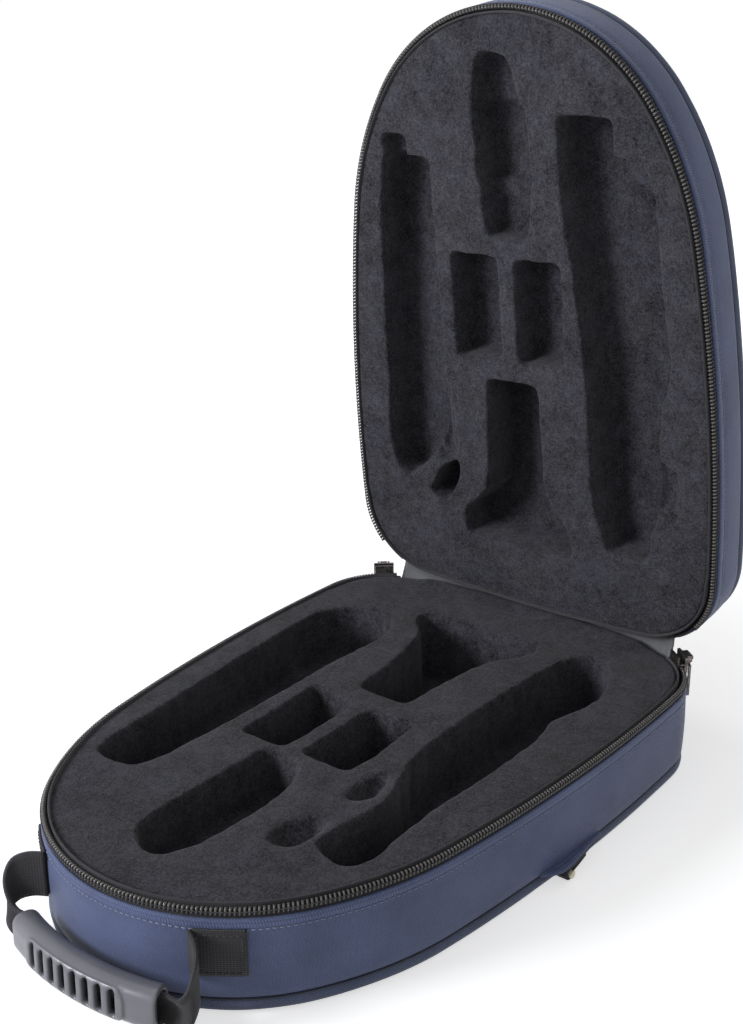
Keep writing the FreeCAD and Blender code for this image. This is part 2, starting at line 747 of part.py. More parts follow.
def strap_tab_pieces():
    """Fabric wing, webbing loop and metal bar below the right side."""
    loop_radius = bar_diameter / 2 + loop_gap + loop_wall
    bar_z = loop_radius + piping_lift
    root = tab_gap + max(0.0, piping_diameter / 2 - piping_inset)
    near = side_x(tab_bar_y, root)
    far = near + tab_reach - 2 * bar_overhang
    bar = Part.makeCylinder(bar_diameter / 2, far - near + 2 * bar_overhang - tab_gap,
                            vec(near + tab_gap, tab_bar_y, bar_z), vec(1, 0, 0))
    loop_near = near + tab_gap
    loop = Part.makeCylinder(loop_radius, far - loop_near, vec(loop_near, tab_bar_y, bar_z), vec(1, 0, 0))
    tail_top = bar_z + loop_radius
    tail = [
        vec(loop_near, tab_bar_y, tail_top), vec(loop_near, tab_bar_y, tail_top - loop_wall),
        vec(loop_near, tab_hinge_y, seam_height - loop_wall), vec(loop_near, tab_hinge_y, seam_height),
    ]
    tail_face = Part.Face(Part.makePolygon(tail + tail[:1]))
    tail_solid = tail_face.extrude(vec(far - loop_near, 0, 0))
    side_cut = plate(root, 0, base_height)
    eye = Part.makeCylinder(bar_diameter / 2 + loop_gap, 2 * tab_reach,
                            vec(near - tab_reach, tab_bar_y, bar_z), vec(1, 0, 0))
    taper = Part.Face(Part.makePolygon([
        vec(far + overrun, tab_bar_y + loop_radius), vec(far, tab_bar_y + loop_radius),
        vec(side_x(tab_hinge_y, root) + tab_thickness, tab_hinge_y),
        vec(side_x(tab_hinge_y, root) + tab_thickness, tab_hinge_y + overrun),
        vec(far + overrun, tab_hinge_y + overrun), vec(far + overrun, tab_bar_y + loop_radius),
    ])).extrude(vec(0, 0, base_height))
    strap = loop.fuse(tail_solid).cut(eye).cut(side_cut).cut(taper)

    wing_low = tail_top + tab_gap
    wing_points = [
        vec(side_x(tab_nose_y, root), tab_nose_y), vec(far, tab_bar_y - loop_radius),
        vec(far, tab_bar_y + loop_radius), vec(side_x(tab_hinge_y, root) + tab_thickness, tab_hinge_y),
        vec(side_x(tab_bar_y, -overrun), tab_hinge_y), vec(side_x(tab_bar_y, -overrun), tab_nose_y),
    ]
    wing = Part.Face(Part.makePolygon(wing_points + wing_points[:1])).extrude(vec(0, 0, tab_thickness))
    wing.translate(vec(0, 0, wing_low))
    wing = wing.cut(plate(tab_gap / 2, 0, base_height))
    return {"strap_bar": bar, "strap_loop": strap, "strap_wing": wing}


def both_sides(pieces):
    """The right pieces and their mirror images, named right and left."""
    result = {}
    for name, shape in pieces.items():
        result[name + "_right"] = shape
        result[name + "_left"] = shape.mirror(vec(0, 0), vec(1, 0))
    return result


def all_pieces():
    pieces = {}
    pieces.update(base_pieces())
    pieces.update(lid_pieces())
    pieces.update(both_sides(zipper_end_pieces()))
    pieces.update(both_sides({"handle_anchor": handle_anchor()}))
    pieces.update(both_sides(strap_tab_pieces()))
    pieces["hinge_gusset"] = gusset()
    pieces["handle_grip"] = grip()
    pieces["handle_webbing"] = handle_webbing()
    return pieces


def main():
    os.makedirs("parts", exist_ok=True)
    for name, shape in all_pieces().items():
        box = shape.BoundBox
        print("%-20s valid %s solids %d volume %.0f z %.1f to %.1f" % (
            name, shape.isValid(), len(shape.Solids), shape.Volume, box.ZMin, box.ZMax))
        shape.exportStep("parts/" + name + ".step")


main()
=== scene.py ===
import math

import bmesh
import bpy
import numpy as np
from mathutils import Matrix, Vector, noise
from mathutils.geometry import delaunay_2d_cdt


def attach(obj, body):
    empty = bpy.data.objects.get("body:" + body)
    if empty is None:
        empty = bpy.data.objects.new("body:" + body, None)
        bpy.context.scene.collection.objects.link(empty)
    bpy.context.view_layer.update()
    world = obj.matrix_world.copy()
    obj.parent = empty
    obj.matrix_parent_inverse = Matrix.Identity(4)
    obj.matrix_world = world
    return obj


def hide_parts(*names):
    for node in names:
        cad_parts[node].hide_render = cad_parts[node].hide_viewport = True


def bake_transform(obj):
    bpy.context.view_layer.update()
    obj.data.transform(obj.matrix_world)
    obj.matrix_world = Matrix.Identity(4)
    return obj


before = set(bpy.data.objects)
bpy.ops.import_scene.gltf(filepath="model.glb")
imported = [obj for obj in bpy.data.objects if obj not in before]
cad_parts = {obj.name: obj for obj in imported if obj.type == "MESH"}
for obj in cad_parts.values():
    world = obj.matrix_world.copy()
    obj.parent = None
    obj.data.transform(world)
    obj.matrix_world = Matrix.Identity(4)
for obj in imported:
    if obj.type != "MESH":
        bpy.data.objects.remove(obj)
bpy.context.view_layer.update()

# The zip case as the photograph shows it. Lengths are in millimetres and become metres
# when a mesh is made. Both shells are built outer face at zero, and the lid is then turned
# over onto the base and swung open, as in the solids.
MM = 0.001

# Case outline, one egg-shaped loop of tangent arcs
case_length = 380.0
case_half_width = 132.5
corner_radius = 51.0
nose_radius_share = 0.81
shoulder_radius_share = 1.39
back_radius_share = 8.83
widest_place_share = 0.552
side_drop_share = 0.1245

# Shells and hinge line
base_height = 59.1
lid_height = 42.6
hinge_inset = 6.3
hinge_rise = 5.0
lid_open_angle = 83.0
rim_drop = 5.6
back_wall_drop = 3.0
seam_height = 8.2
gusset_start_angle = 62.0

# Piping: a fabric tube with slow lumps
piping_diameter = 7.2
piping_inset = 3.2
piping_lift = 0.3
piping_sides = 18
piping_lump = 0.22
piping_lump_length = 21.0
# Thin black cord sunk in the seam above the piping: painted shade, a dark line that stands for the seam's
# crease
seam_shadow_cord_diameter = 0.55
seam_shadow_cord_inset = 0.55
seam_shadow_cord_height = 7.6

# Side cover: places of its section above the outer face, and how far it swells
cover_thickness = 1.4
cover_tuck = 2.4
cover_tuck_height = 7.7
cover_start_height = 9.6
cover_swell = 0.7
cover_slack = 0.35
cover_slack_length = 46.0
hem_width = 7.0
hem_rise = 0.35
hem_groove = 0.25
hem_pucker = 0.12
hem_pucker_length = 5.5
fold_drop = 1.3
fold_radius = 0.7
cover_steps = 8
swell_start_share = 0.12
swell_span_share = 0.8

# Panels inside the piping
floor_panel_inset = 4.2
panel_tuck = 1.4
lid_crown = 2.6
lid_crown_reach = 26.0
crown_wave_share = 1 / 6
panel_net = 9.0
panel_ring_insets = [1.5, 3.2, 6.0, 10.0]
panel_net_inset = 14.0

# Zipper half
coil_height = 4.4
coil_depth = 3.0
coil_top_drop = 0.8
coil_pitch = 2.2
coil_wire = 1.1
coil_head_wire = 1.35
coil_slant = 0.5
coil_sides = 6
tape_thickness = 0.8
tape_height = 10.0
tape_rise = 2.2
lid_coil_end_angle = 40.0
base_coil_end_angle = 56.4
cord_diameter = 0.5
cord_drop = 2.3
cord_reach = 0.05

# Binding inside the zipper
binding_outer = 4.6
binding_thickness = 1.2
binding_height = 7.6
binding_gap = 0.2
binding_lean = 1.1
lean_angle = 2.0
lean_fade = 12.0
binding_wave = 0.3
binding_wave_length = 19.0

# Plush insert
lining_inset = 5.9
plush_drop = 1.5
panel_top = 4.2
well_step = 1.7
plush_net = 4.6
net_unrest_share = 0.16
plush_skirt = 9.0
# The pile leans out over the binding this many times as far as the binding does
pile_lean_share = 1.8
plush_wave = 0.45
plush_wave_length = 34.0
well_corner = 5.0
corner_reach_share = 0.48
sharp_corner_angle = 130.0
corner_steps = 6
edge_fray = 0.8
edge_fray_length = 7.0
# Wells shallower than this share of the foam are soft dents, their edges so many times wider
dent_share = 0.3
dent_softness = 2.4
# Section of a well's edge: distance outside its line, and how far the pile has dropped there
edge_reaches = [2.2, 1.4, 0.75, 0.25, -0.15, -0.45]
edge_drops = [0.0, 0.1, 0.4, 1.05, 2.3, 4.2]
# Section at a well's foot: distance inside its line, and the height left above its floor
foot_reaches = [1.5, 2.2, 3.1, 4.4, 6.2, 8.4]
foot_heights = [4.6, 2.7, 1.4, 0.6, 0.15, 0.0]
# Section of the insert's own edge: distance inside it, and the drop there
border_reaches = [0.0, 0.4, 1.0, 2.1, 4.0]
border_drops = [1.7, 0.8, 0.3, 0.08, 0.0]
# The base plush swells up to the lid along the hinge
hinge_swell = 2.6
hinge_swell_reach = 15.0
swell_angle = 74.0

# Stitches
stitch_pitch = 3.2
stitch_length = 2.3
stitch_width = 0.62
stitch_sides = 6
patch_stitch_inset = 2.2
# A stitch's places: share of its length, of its rise, and of its radius
stitch_shares = [(0, -1.2, 0.55), (0.18, 0.35, 0.9), (0.5, 1, 1), (0.82, 0.35, 0.9), (1, -1.2, 0.55)]

# Hinge gusset
gusset_inset = 3.0
gusset_thickness = 0.8
gusset_bulge = 1.6
gusset_tuck = 4.0
gusset_end_gap = 0.6
gusset_shares = (0.2, 0.4, 0.6, 0.8)
gusset_fold_share = 0.35

# Carry handle
webbing_width = 25.0
webbing_thickness = 1.8
anchor_spread = 2.8
anchor_length = 25.0
anchor_height_share = 0.584
handle_droop = 50.0
grip_roll = 52.0
grip_reach = 27.4
grip_bulge = 7.2
grip_half_length = 47.2
grip_thickness = 14.0
grip_height = 21.5
grip_corner = 6.0
bore_thickness = 8.6
bore_height = 17.0
bore_corner = 3.4
webbing_clearance = 0.4
strap_swell = 17.0
strap_route_shares = [
    (0.0, 0.0, 0.0, 0.0), (0.52, 0.15, 0.0, 0.15), (0.95, 0.38, 0.0, 0.45), (0.98, 0.72, 0.3, 0.8),
    (0.55, 0.96, 0.9, 1.0),
]
through_grip_shares = [0.98, 0.66, 0.33, 0.0]
webbing_curl_angle = 58.0
webbing_edge = 0.5
strap_steps = 5
band_steps = 8
flat_band_angle = 0.01

# Grip: raised panel with round-ended slots, edges eased all round
panel_rise = 1.0
panel_height = 17.8
panel_corner = 5.5
panel_margin = 4.2
panel_ease = 0.55
slot_count = 8
slot_width = 4.0
slot_length = 14.8
slot_pitch = 7.5
slot_ease = 0.9
lip_ease = 1.6
grip_net = 1.9
grid_clear_share = 0.45
# Shares of each ease along the surface, with how far it has risen or dropped there
panel_reach_shares = [-1, -1 / 3, 1 / 3, 1]
panel_rise_shares = [0.0, 0.12, 0.88, 1.0]
slot_reach_shares = [0.0, 0.2, 0.5, 1.0]
slot_drop_shares = [0.8, 0.4, 0.1, 0.0]
lip_reach_shares = [0.0, 0.1, 0.3, 0.6, 1.0]
lip_drop_shares = [0.62, 0.36, 0.14, 0.03, 0.0]

# Strap tabs at the sides
tab_nose_y = -4.0
tab_bar_y = 14.0
tab_hinge_y = 50.0
tab_reach = 7.6
tab_gap = 0.5
bar_diameter = 4.4
loop_wall = 1.5
loop_gap = 0.1
bar_overhang = 0.8
wing_thickness = 1.1
wing_tuck = 0.8
loop_tail_length = 15.0
loop_lead_shares = (0.75, 0.5, 0.25)
loop_tail_shares = (0.45, 0.7, 1.0)
wing_steps = 6
wing_sag = 0.5
wing_wave = 0.25
wing_wave_length = 7.0
wing_round_share = 0.2

# Steps along the rim and round corners, and reaches that tell points apart
rim_step = 3.0
fine_step = 1.5
turn_step = 15
weld_reach = 0.002
edge_tolerance = 0.001
side_probe = 0.01
never_zero = 1e-12
join_reach = 1e-4

# Seeds of the slow waves and of the nets; the lid's is one more where both shells have one
cover_seed = 1
piping_seed = 3
binding_seed = 5
pile_seed = 7
panel_seed = 9
pile_net_seed = 11
panel_net_seed = 12
gusset_seed = 13
wing_seed = 15
fray_seed = 17

# Weaves: pitch of the twill or rib, pitch of the yarn or line
weave_pitches = {
    "twill": (1.0, 0.62), "piping": (1.0, 0.6), "tape": (0.7, 0.9), "binding": (0.8, 0.7),
    "webbing": (1.5, 1.1), "nylon": (0.5, 0.5), "thread": (0.5, 0.4),
}
# Width of the spots in each finish
grain_sizes = {
    "cloth fade": 38.0, "cloth fluff": 0.9, "pile tips": 1.15, "pile tufts": 3.4, "pile brushed": 12.0,
    "pile tint": 24.0, "pile clouds": 42.0, "webbing fluff": 0.6, "webbing dust": 12.0,
    "nylon creases": 7.0, "plastic texture": 0.55, "plastic marks": 17.0, "plastic rubbed": 5.0,
    "metal spots": 2.2, "metal scratches": 0.35, "board shreds": 1.6, "board clouds": 14.0,
}
# Depth of each finish's bump
bump_depths = {
    "cloth": 0.34, "pile": 0.5, "webbing": 0.35, "nylon": 0.9, "plastic": 0.05, "metal": 0.06,
    "board": 0.3,
}

# Camera, from the photograph's perspective
photo_width = 743
photo_height = 1024
camera_place = (448.3, -543.9, 451.7)
camera_azimuth = 36.39
camera_elevation = 20.98
camera_roll = 0.33
camera_focus = 1419.3
camera_centre_x = 423.3
camera_centre_y = 513.3
sensor_width = 36.0
near_clip = 0.01

# Surroundings, in Blender's own units
floor_glow = 0.58
floor_near = 0.22
floor_far = 0.75
floor_reach = 4.0
floor_drop = 0.0004
world_light = 0.25
# Lamps: name, place, target, size, watts and tint
lamp_table = [
    ("key", (-1.15, -1.75, 0.95), (0.0, 0.0, 0.1), 0.9, 43.0, (0.97, 0.99, 1.04)),
    ("top", (-0.5, 0.3, 2.2), (0.0, 0.0, 0.0), 1.2, 4.0, (1.0, 1.0, 1.0)),
    ("fill", (1.8, -0.7, 1.0), (0.0, 0.0, 0.1), 1.6, 4.5, (1.0, 1.0, 1.0)),
]

# Wells of the insert, shares of the half width and half length, with shares of the depth
base_upper_joint_shares = [
    (-0.68, -0.575), (-0.715, -0.50), (-0.735, -0.30), (-0.79, 0.10), (-0.825, 0.42), (-0.825, 0.49),
    (-0.785, 0.565), (-0.70, 0.63), (-0.55, 0.65), (-0.425, 0.585), (-0.405, 0.45), (-0.43, 0.25),
    (-0.42, -0.20), (-0.435, -0.48), (-0.47, -0.565), (-0.56, -0.585),
]
base_mouthpiece_shares = [
    (-0.10, -0.80), (-0.15, -0.755), (-0.16, -0.68), (-0.15, -0.45), (-0.145, -0.29), (-0.11, -0.265),
    (0.065, -0.285), (0.12, -0.38), (0.14, -0.47), (0.135, -0.64), (0.12, -0.745), (0.06, -0.825),
    (-0.02, -0.83),
]
base_left_barrel_shares = [
    (-0.32, -0.245), (-0.094, -0.24), (-0.088, 0.03), (-0.11, 0.085), (-0.34, 0.10),
]
base_right_barrel_shares = [
    (-0.005, -0.235), (0.236, -0.235), (0.25, -0.14), (0.23, 0.09), (0.0, 0.08),
]
base_bell_shares = [
    (-0.17, 0.17), (-0.20, 0.38), (-0.24, 0.51), (-0.29, 0.605), (-0.38, 0.66), (-0.405, 0.715),
    (-0.33, 0.735), (0.25, 0.755), (0.265, 0.70), (0.235, 0.63), (0.15, 0.565), (0.12, 0.47),
    (0.10, 0.35), (0.09, 0.17),
]
base_lower_joint_shares = [
    (0.46, -0.55), (0.457, -0.50), (0.47, -0.43), (0.50, -0.34), (0.49, -0.26), (0.41, -0.12),
    (0.375, -0.01), (0.372, 0.25), (0.376, 0.44), (0.41, 0.655), (0.44, 0.74), (0.50, 0.785),
    (0.56, 0.78), (0.65, 0.735), (0.70, 0.64), (0.735, 0.55), (0.725, 0.48), (0.675, 0.37),
    (0.675, 0.31), (0.70, 0.26), (0.707, 0.14), (0.685, -0.12), (0.67, -0.20), (0.675, -0.42),
    (0.69, -0.51), (0.67, -0.56), (0.62, -0.585), (0.54, -0.58),
]
nose_pit_shares = [
    (0.32, -0.62), (0.283, -0.58), (0.295, -0.52), (0.355, -0.46), (0.41, -0.46), (0.425, -0.53),
    (0.40, -0.60),
]
side_pit_shares = [
    (0.35, -0.34), (0.335, -0.30), (0.34, -0.24), (0.36, -0.195), (0.40, -0.195), (0.43, -0.24),
    (0.43, -0.30), (0.40, -0.335),
]
lid_upper_joint_shares = [
    (-0.69, -0.54), (-0.73, -0.39), (-0.77, 0.31), (-0.79, 0.45), (-0.76, 0.55), (-0.69, 0.595),
    (-0.45, 0.44), (-0.42, 0.21), (-0.43, -0.16), (-0.44, -0.54),
]
tenon_step_shares = [(-0.69, -0.605), (-0.69, -0.50), (-0.56, -0.50), (-0.56, -0.605)]
joint_ledge_shares = [(-0.50, 0.18), (-0.41, 0.20), (-0.37, 0.44), (-0.43, 0.50), (-0.50, 0.46)]
end_pocket_shares = [(-0.47, 0.515), (-0.375, 0.475), (-0.375, 0.555), (-0.46, 0.655), (-0.56, 0.625)]
lid_mouthpiece_shares = [
    (-0.14, -0.87), (-0.18, -0.80), (-0.19, -0.64), (-0.17, -0.48), (-0.14, -0.31), (0.07, -0.31),
    (0.105, -0.48), (0.09, -0.62), (0.03, -0.78), (-0.01, -0.86),
]
cap_shares = [(-0.18, -0.72), (-0.18, -0.47), (0.10, -0.47), (0.08, -0.72)]
lid_left_barrel_shares = [(-0.347, -0.25), (-0.098, -0.25), (-0.090, 0.085), (-0.343, 0.10)]
lid_right_barrel_shares = [(-0.008, -0.25), (0.232, -0.255), (0.24, 0.08), (0.0, 0.095)]
lid_bell_shares = [
    (-0.18, 0.16), (-0.195, 0.50), (-0.22, 0.58), (-0.35, 0.66), (-0.345, 0.755), (0.255, 0.755),
    (0.25, 0.65), (0.14, 0.565), (0.11, 0.49), (0.095, 0.155),
]
lid_lower_joint_shares = [
    (0.235, -0.70), (0.245, -0.45), (0.29, -0.26), (0.335, -0.03), (0.36, 0.16), (0.365, 0.48),
    (0.40, 0.58), (0.45, 0.69), (0.66, 0.69), (0.675, 0.61), (0.715, 0.51), (0.72, 0.16),
    (0.765, 0.07), (0.765, -0.03), (0.725, -0.19), (0.70, -0.44), (0.62, -0.50), (0.50, -0.52),
    (0.495, -0.70),
]
side_key_shares = [(0.47, -0.60), (0.62, -0.585), (0.685, -0.52), (0.70, -0.40), (0.47, -0.40)]
key_recess_shares = [(0.68, 0.30), (0.83, 0.34), (0.84, 0.46), (0.80, 0.52), (0.68, 0.52)]
base_wells = [
    (base_upper_joint_shares, 0.62), (base_mouthpiece_shares, 0.52), (base_left_barrel_shares, 0.60),
    (base_right_barrel_shares, 0.60), (base_bell_shares, 0.87), (base_lower_joint_shares, 0.68),
    (nose_pit_shares, 0.20), (side_pit_shares, 0.20),
]
lid_wells = [
    (lid_upper_joint_shares, 0.66), (tenon_step_shares, 0.36), (joint_ledge_shares, 0.24),
    (end_pocket_shares, 0.60), (lid_mouthpiece_shares, 0.46), (cap_shares, 0.62),
    (lid_left_barrel_shares, 0.60), (lid_right_barrel_shares, 0.60), (lid_bell_shares, 0.86),
    (lid_lower_joint_shares, 0.72), (side_key_shares, 0.36), (key_recess_shares, 0.24),
]

# Lengths that follow from the ones above
half_length = case_length / 2
nose_radius = nose_radius_share * case_half_width
shoulder_radius = shoulder_radius_share * case_half_width
back_radius = back_radius_share * case_half_width
widest_y = widest_place_share * half_length
side_drop = side_drop_share * case_half_width
hinge_y = half_length - hinge_inset
hinge_z = base_height + hinge_rise
piping_centre_z = piping_lift + piping_diameter / 2
anchor_inner_x = grip_half_length + anchor_spread
anchor_centre_height = anchor_height_share * base_height


# Outline

def circle_meeting(a, radius_a, b, radius_b, pick):
    """The point at radius_a from a and radius_b from b that pick prefers."""
    reach = (b - a).length
    along = (radius_a ** 2 - radius_b ** 2 + reach ** 2) / (2 * reach)
    aside = math.sqrt(radius_a ** 2 - along ** 2)
    unit = (b - a) / reach
    middle = a + unit * along
    side = Vector((-unit.y, unit.x)) * aside
    return max([middle + side, middle - side], key=pick)


def heading(a, b):
    """Angle of the line from a to b."""
    return math.atan2(b.y - a.y, b.x - a.x)


def outline_arcs():
    """The right half of the rim outline as arcs (centre, radius, from angle, to angle)."""
    nose = Vector((0, nose_radius - half_length))
    run = widest_y - nose.y
    side_radius = run ** 2 / (2 * side_drop) + side_drop / 2
    side = Vector((case_half_width - side_radius, widest_y))
    back = Vector((0, half_length - back_radius))
    shoulder = circle_meeting(
        nose, shoulder_radius - nose_radius, side, side_radius - shoulder_radius, lambda p: p.y)
    corner = circle_meeting(
        side, side_radius - corner_radius, back, back_radius - corner_radius, lambda p: p.x)
    nose_end = heading(shoulder, nose)
    shoulder_end = heading(side, shoulder)
    side_end = heading(side, corner)
    corner_end = heading(back, corner)
    return [
        (nose, nose_radius, -math.pi / 2, nose_end),
        (shoulder, shoulder_radius, nose_end, shoulder_end),
        (side, side_radius, shoulder_end, side_end),
        (corner, corner_radius, side_end, corner_end),
        (back, back_radius, corner_end, math.pi / 2),
    ]


ARCS = outline_arcs()
ARC_RUNS = [radius * (end - start) for centre, radius, start, end in ARCS]
HALF_RUN = sum(ARC_RUNS)
CORNER = 3


def corner_run(degrees):
    """Distance from the nose along the outline to an angle of the corner arc."""
    start = ARCS[CORNER][2]
    return sum(ARC_RUNS[:CORNER]) + corner_radius * (math.radians(degrees) - start)


def rim_frame(run):
    """Place and outward direction at a distance from the nose, to the right if positive."""
    side = -1 if run < 0 else 1
    rest = min(abs(run), HALF_RUN)
    index = 0
    while index < len(ARCS) - 1 and rest > ARC_RUNS[index]:
        rest -= ARC_RUNS[index]
        index += 1
    centre, radius, start, end = ARCS[index]
    angle = start + rest / radius
    out = Vector((side * math.cos(angle), math.sin(angle)))
    return Vector((side * centre.x, centre.y)) + out * radius, out


def rim_point(run, offset, z):
    place, out = rim_frame(run)
    place = place + out * offset
    return Vector((place.x, place.y, z))


def side_x(y, offset):
    """Place of the right side at y, moved outwards by offset."""
    centre, radius = ARCS[2][0], ARCS[2][1]
    reach = radius + offset
    return centre.x + math.sqrt(reach ** 2 - (y - centre.y) ** 2)


def even(start, end, step):
    """Evenly spaced values from start to end, about step apart."""
    count = max(1, math.ceil(abs(end - start) / step))
    return [start + (end - start) * i / count for i in range(count + 1)]


def smooth_share(value, low, high):
    """0 at low, 1 at high, and smooth between them."""
    share = min(1.0, max(0.0, (value - low) / (high - low)))
    return share * share * (3 - 2 * share)


def wander(a, b, seed):
    """Slow repeatable waviness between about -1 and 1."""
    return noise.noise(Vector((a, b, seed * math.pi)))


def circle(radius, sides, x, y):
    """Places round a circle about x, y."""
    turns = [2 * math.pi * i / sides for i in range(sides)]
    return [(x + radius * math.cos(t), y + radius * math.sin(t)) for t in turns]


def shell_seed(shell, first):
    return first if shell == "base" else first + 1


# Placing of the two shells

def base_place(p):
    return p


def opened_point(p):
    """A point of the closed lid, swung open about the hinge."""
    turn = math.radians(lid_open_angle)
    y = p.y - hinge_y
    z = p.z - hinge_z
    return Vector((p.x, hinge_y + y * math.cos(turn) + z * math.sin(turn),
                   hinge_z - y * math.sin(turn) + z * math.cos(turn)))


def lid_place(p):
    """A point of the lid's shell, turned over onto the base and swung open."""
    return opened_point(Vector((p.x, p.y, base_height + lid_height - p.z)))


SHELLS = {
    "base": (base_place, base_height, base_wells),
    "lid": (lid_place, lid_height, lid_wells),
}


# Meshes

def placed(name, data):
    """A new object in the scene."""
    obj = bpy.data.objects.new(name, data)
    bpy.context.scene.collection.objects.link(obj)
    return obj


class Net:
    """Points, faces and texture places of a piece, in millimetres."""

    def __init__(self):
        self.points = []
        self.faces = []
        self.places = []

    def add_face(self, corners, places):
        self.faces.append(corners)
        self.places.extend(places)

    def add_rows(self, rows, us, wrap_rows=False, wrap_columns=False, caps=False):
        """Quads over rows of points. Texture u comes from us, v from the first row's length."""
        first = len(self.points)
        count = len(rows)
        width = len(rows[0])
        for row in rows:
            self.points.extend(row)
        reference = list(rows[0]) + ([rows[0][0]] if wrap_columns else [])
        vs = [0.0]
        for a, b in zip(reference, reference[1:]):
            vs.append(vs[-1] + (b - a).length)
        for i in range(count if wrap_rows else count - 1):
            for j in range(width if wrap_columns else width - 1):
                a, b = i, (i + 1) % count
                c, d = j, (j + 1) % width
                self.add_face(
                    (first + a * width + c, first + b * width + c,
                     first + b * width + d, first + a * width + d),
                    [(us[i], vs[j]), (us[i + 1], vs[j]), (us[i + 1], vs[j + 1]), (us[i], vs[j + 1])])
        if caps:
            for row, u in ((0, us[0]), (count - 1, us[-1])):
                corners = tuple(first + row * width + j for j in range(width))
                self.add_face(corners, [(u, vs[j]) for j in range(width)])

    def piece(self, name, material):
        mesh = bpy.data.meshes.new(name)
        mesh.from_pydata([p * MM for p in self.points], [], self.faces)
        layer = mesh.uv_layers.new(name="UVMap")
        layer.data.foreach_set("uv", np.array(self.places, np.float32).ravel() * MM)
        work = bmesh.new()
        work.from_mesh(mesh)
        bmesh.ops.remove_doubles(work, verts=work.verts, dist=weld_reach * MM)
        bmesh.ops.recalc_face_normals(work, faces=work.faces)
        work.to_mesh(mesh)
        work.free()
        mesh.polygons.foreach_set("use_smooth", [True] * len(mesh.polygons))
        mesh.materials.append(material)
        return placed(name, mesh)


def fitted(obj, body, slot, *nodes):
    """Gives a piece its body and the solids it stands for. The slot argument is not used."""
    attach(obj, body)
    if nodes:
        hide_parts(*nodes)
    return obj


def closed_band(name, material, rows, us):
    """A piece from rows of closed sections, capped at both ends."""
    net = Net()
    net.add_rows(rows, us, wrap_columns=True, caps=True)
    return net.piece(name, material)


def rim_loop_runs():
    return even(-HALF_RUN, HALF_RUN, rim_step)


def rim_sweep(name, material, runs, section_at, place, loop, closed_section):
    """A section of (offset, z) places carried along the rim."""
    rows = [[place(rim_point(run, offset, z)) for offset, z in section_at(run)] for run in runs]
    net = Net()
    if loop:
        net.add_rows(rows[:-1], runs, wrap_rows=True, wrap_columns=closed_section)
    else:
        net.add_rows(rows, runs, wrap_columns=closed_section, caps=closed_section)
    return net.piece(name, material)


def tube_rows(path, across, radii, sides):
    """Rings of points round a path. across is a direction off the path, kept all along it."""
    rows = []
    for i, p in enumerate(path):
        along = (path[min(i + 1, len(path) - 1)] - path[max(i - 1, 0)]).normalized()
        side = (across[i] - along * across[i].dot(along)).normalized()
        up = along.cross(side)
        rows.append([
            p + (side * math.cos(turn) + up * math.sin(turn)) * radii[i]
            for turn in (2 * math.pi * k / sides for k in range(sides))
        ])
    return rows


def stitch_net(net, start, end, out, width):
    """One stitch, a short thread that rises from the cloth and goes back in."""
    middle_rise = width / 3
    path = []
    radii = []
    for share, rise_share, radius_share in stitch_shares:
        path.append(start.lerp(end, share) + out * (rise_share * middle_rise))
        radii.append(radius_share * width / 2)
    rows = tube_rows(path, [out] * len(path), radii, stitch_sides)
    net.add_rows(rows, [i * width for i in range(len(rows))], wrap_columns=True, caps=True)


def rim_stitches(name, material, place, run_from, run_to, offset, z):
    net = Net()
    count = int((run_to - run_from) / stitch_pitch)
    for i in range(count):
        run = run_from + i * stitch_pitch
        start = place(rim_point(run, offset, z))
        end = place(rim_point(run + stitch_length, offset, z))
        out = (place(rim_point(run, offset + 1, z)) - start).normalized()
        stitch_net(net, start, end, out, stitch_width)
    return net.piece(name, material)


# Shaders

def feed(tree, socket, value):
    """Links a node's output to a socket, or gives it a fixed value."""
    if isinstance(value, bpy.types.NodeSocket):
        tree.links.new(value, socket)
    else:
        socket.default_value = value


def add(tree, kind, inputs=None, **settings):
    """A shader node with its settings and inputs, which are values or other nodes' outputs."""
    made = tree.nodes.new(kind)
    for name, value in settings.items():
        setattr(made, name, value)
    for name, value in (inputs or {}).items():
        feed(tree, made.inputs[name], value)
    return made


def maths(tree, operation, a, b=0.0):
    return add(tree, "ShaderNodeMath", {0: a, 1: b}, operation=operation).outputs[0]


def weighted(tree, *parts):
    """Sum of values, each times its weight."""
    total = None
    for value, weight in parts:
        part = value if weight == 1 else maths(tree, "MULTIPLY", value, weight)
        total = part if total is None else maths(tree, "ADD", total, part)
    return total


def blended(tree, share, a, b):
    """Colour a where share is 0 and b where it is 1."""
    made = add(tree, "ShaderNodeMix", data_type="RGBA")
    for index, value in ((0, share), (6, a), (7, b)):
        feed(tree, made.inputs[index], value)
    return made.outputs[2]


def colour(red, green, blue):
    return (red, green, blue, 1.0)


def surface(name, sockets):
    """A new material with its principled shader and the fixed values of the finish."""
    made = bpy.data.materials.new(name)
    made.use_nodes = True
    tree = made.node_tree
    shader = tree.nodes["Principled BSDF"]
    for socket, value in sockets.items():
        shader.inputs[socket].default_value = value
    return made, tree, shader


def object_places(tree):
    return add(tree, "ShaderNodeTexCoord").outputs["Object"]


def texture_places(tree):
    return add(tree, "ShaderNodeTexCoord").outputs["UV"]


def grain(tree, places, spots, detail=2.0, roughness=0.5):
    """Noise with spots of the width that grain_sizes gives."""
    return add(tree, "ShaderNodeTexNoise", {
        "Vector": places, "Scale": 1 / (grain_sizes[spots] * MM), "Detail": detail, "Roughness": roughness,
    }).outputs["Fac"]


def ribs(tree, places, pitch, direction):
    """Parallel ribs, pitch millimetres apart, across the texture's X or Y or diagonal."""
    turns = 10 if direction == "DIAGONAL" else 20
    slant = math.sqrt(2) if direction == "DIAGONAL" else 1
    return add(tree, "ShaderNodeTexWave", {
        "Vector": places, "Scale": 2 * math.pi / (turns * slant * pitch * MM), "Detail": 0.0,
    }, wave_type="BANDS", bands_direction=direction).outputs["Fac"]


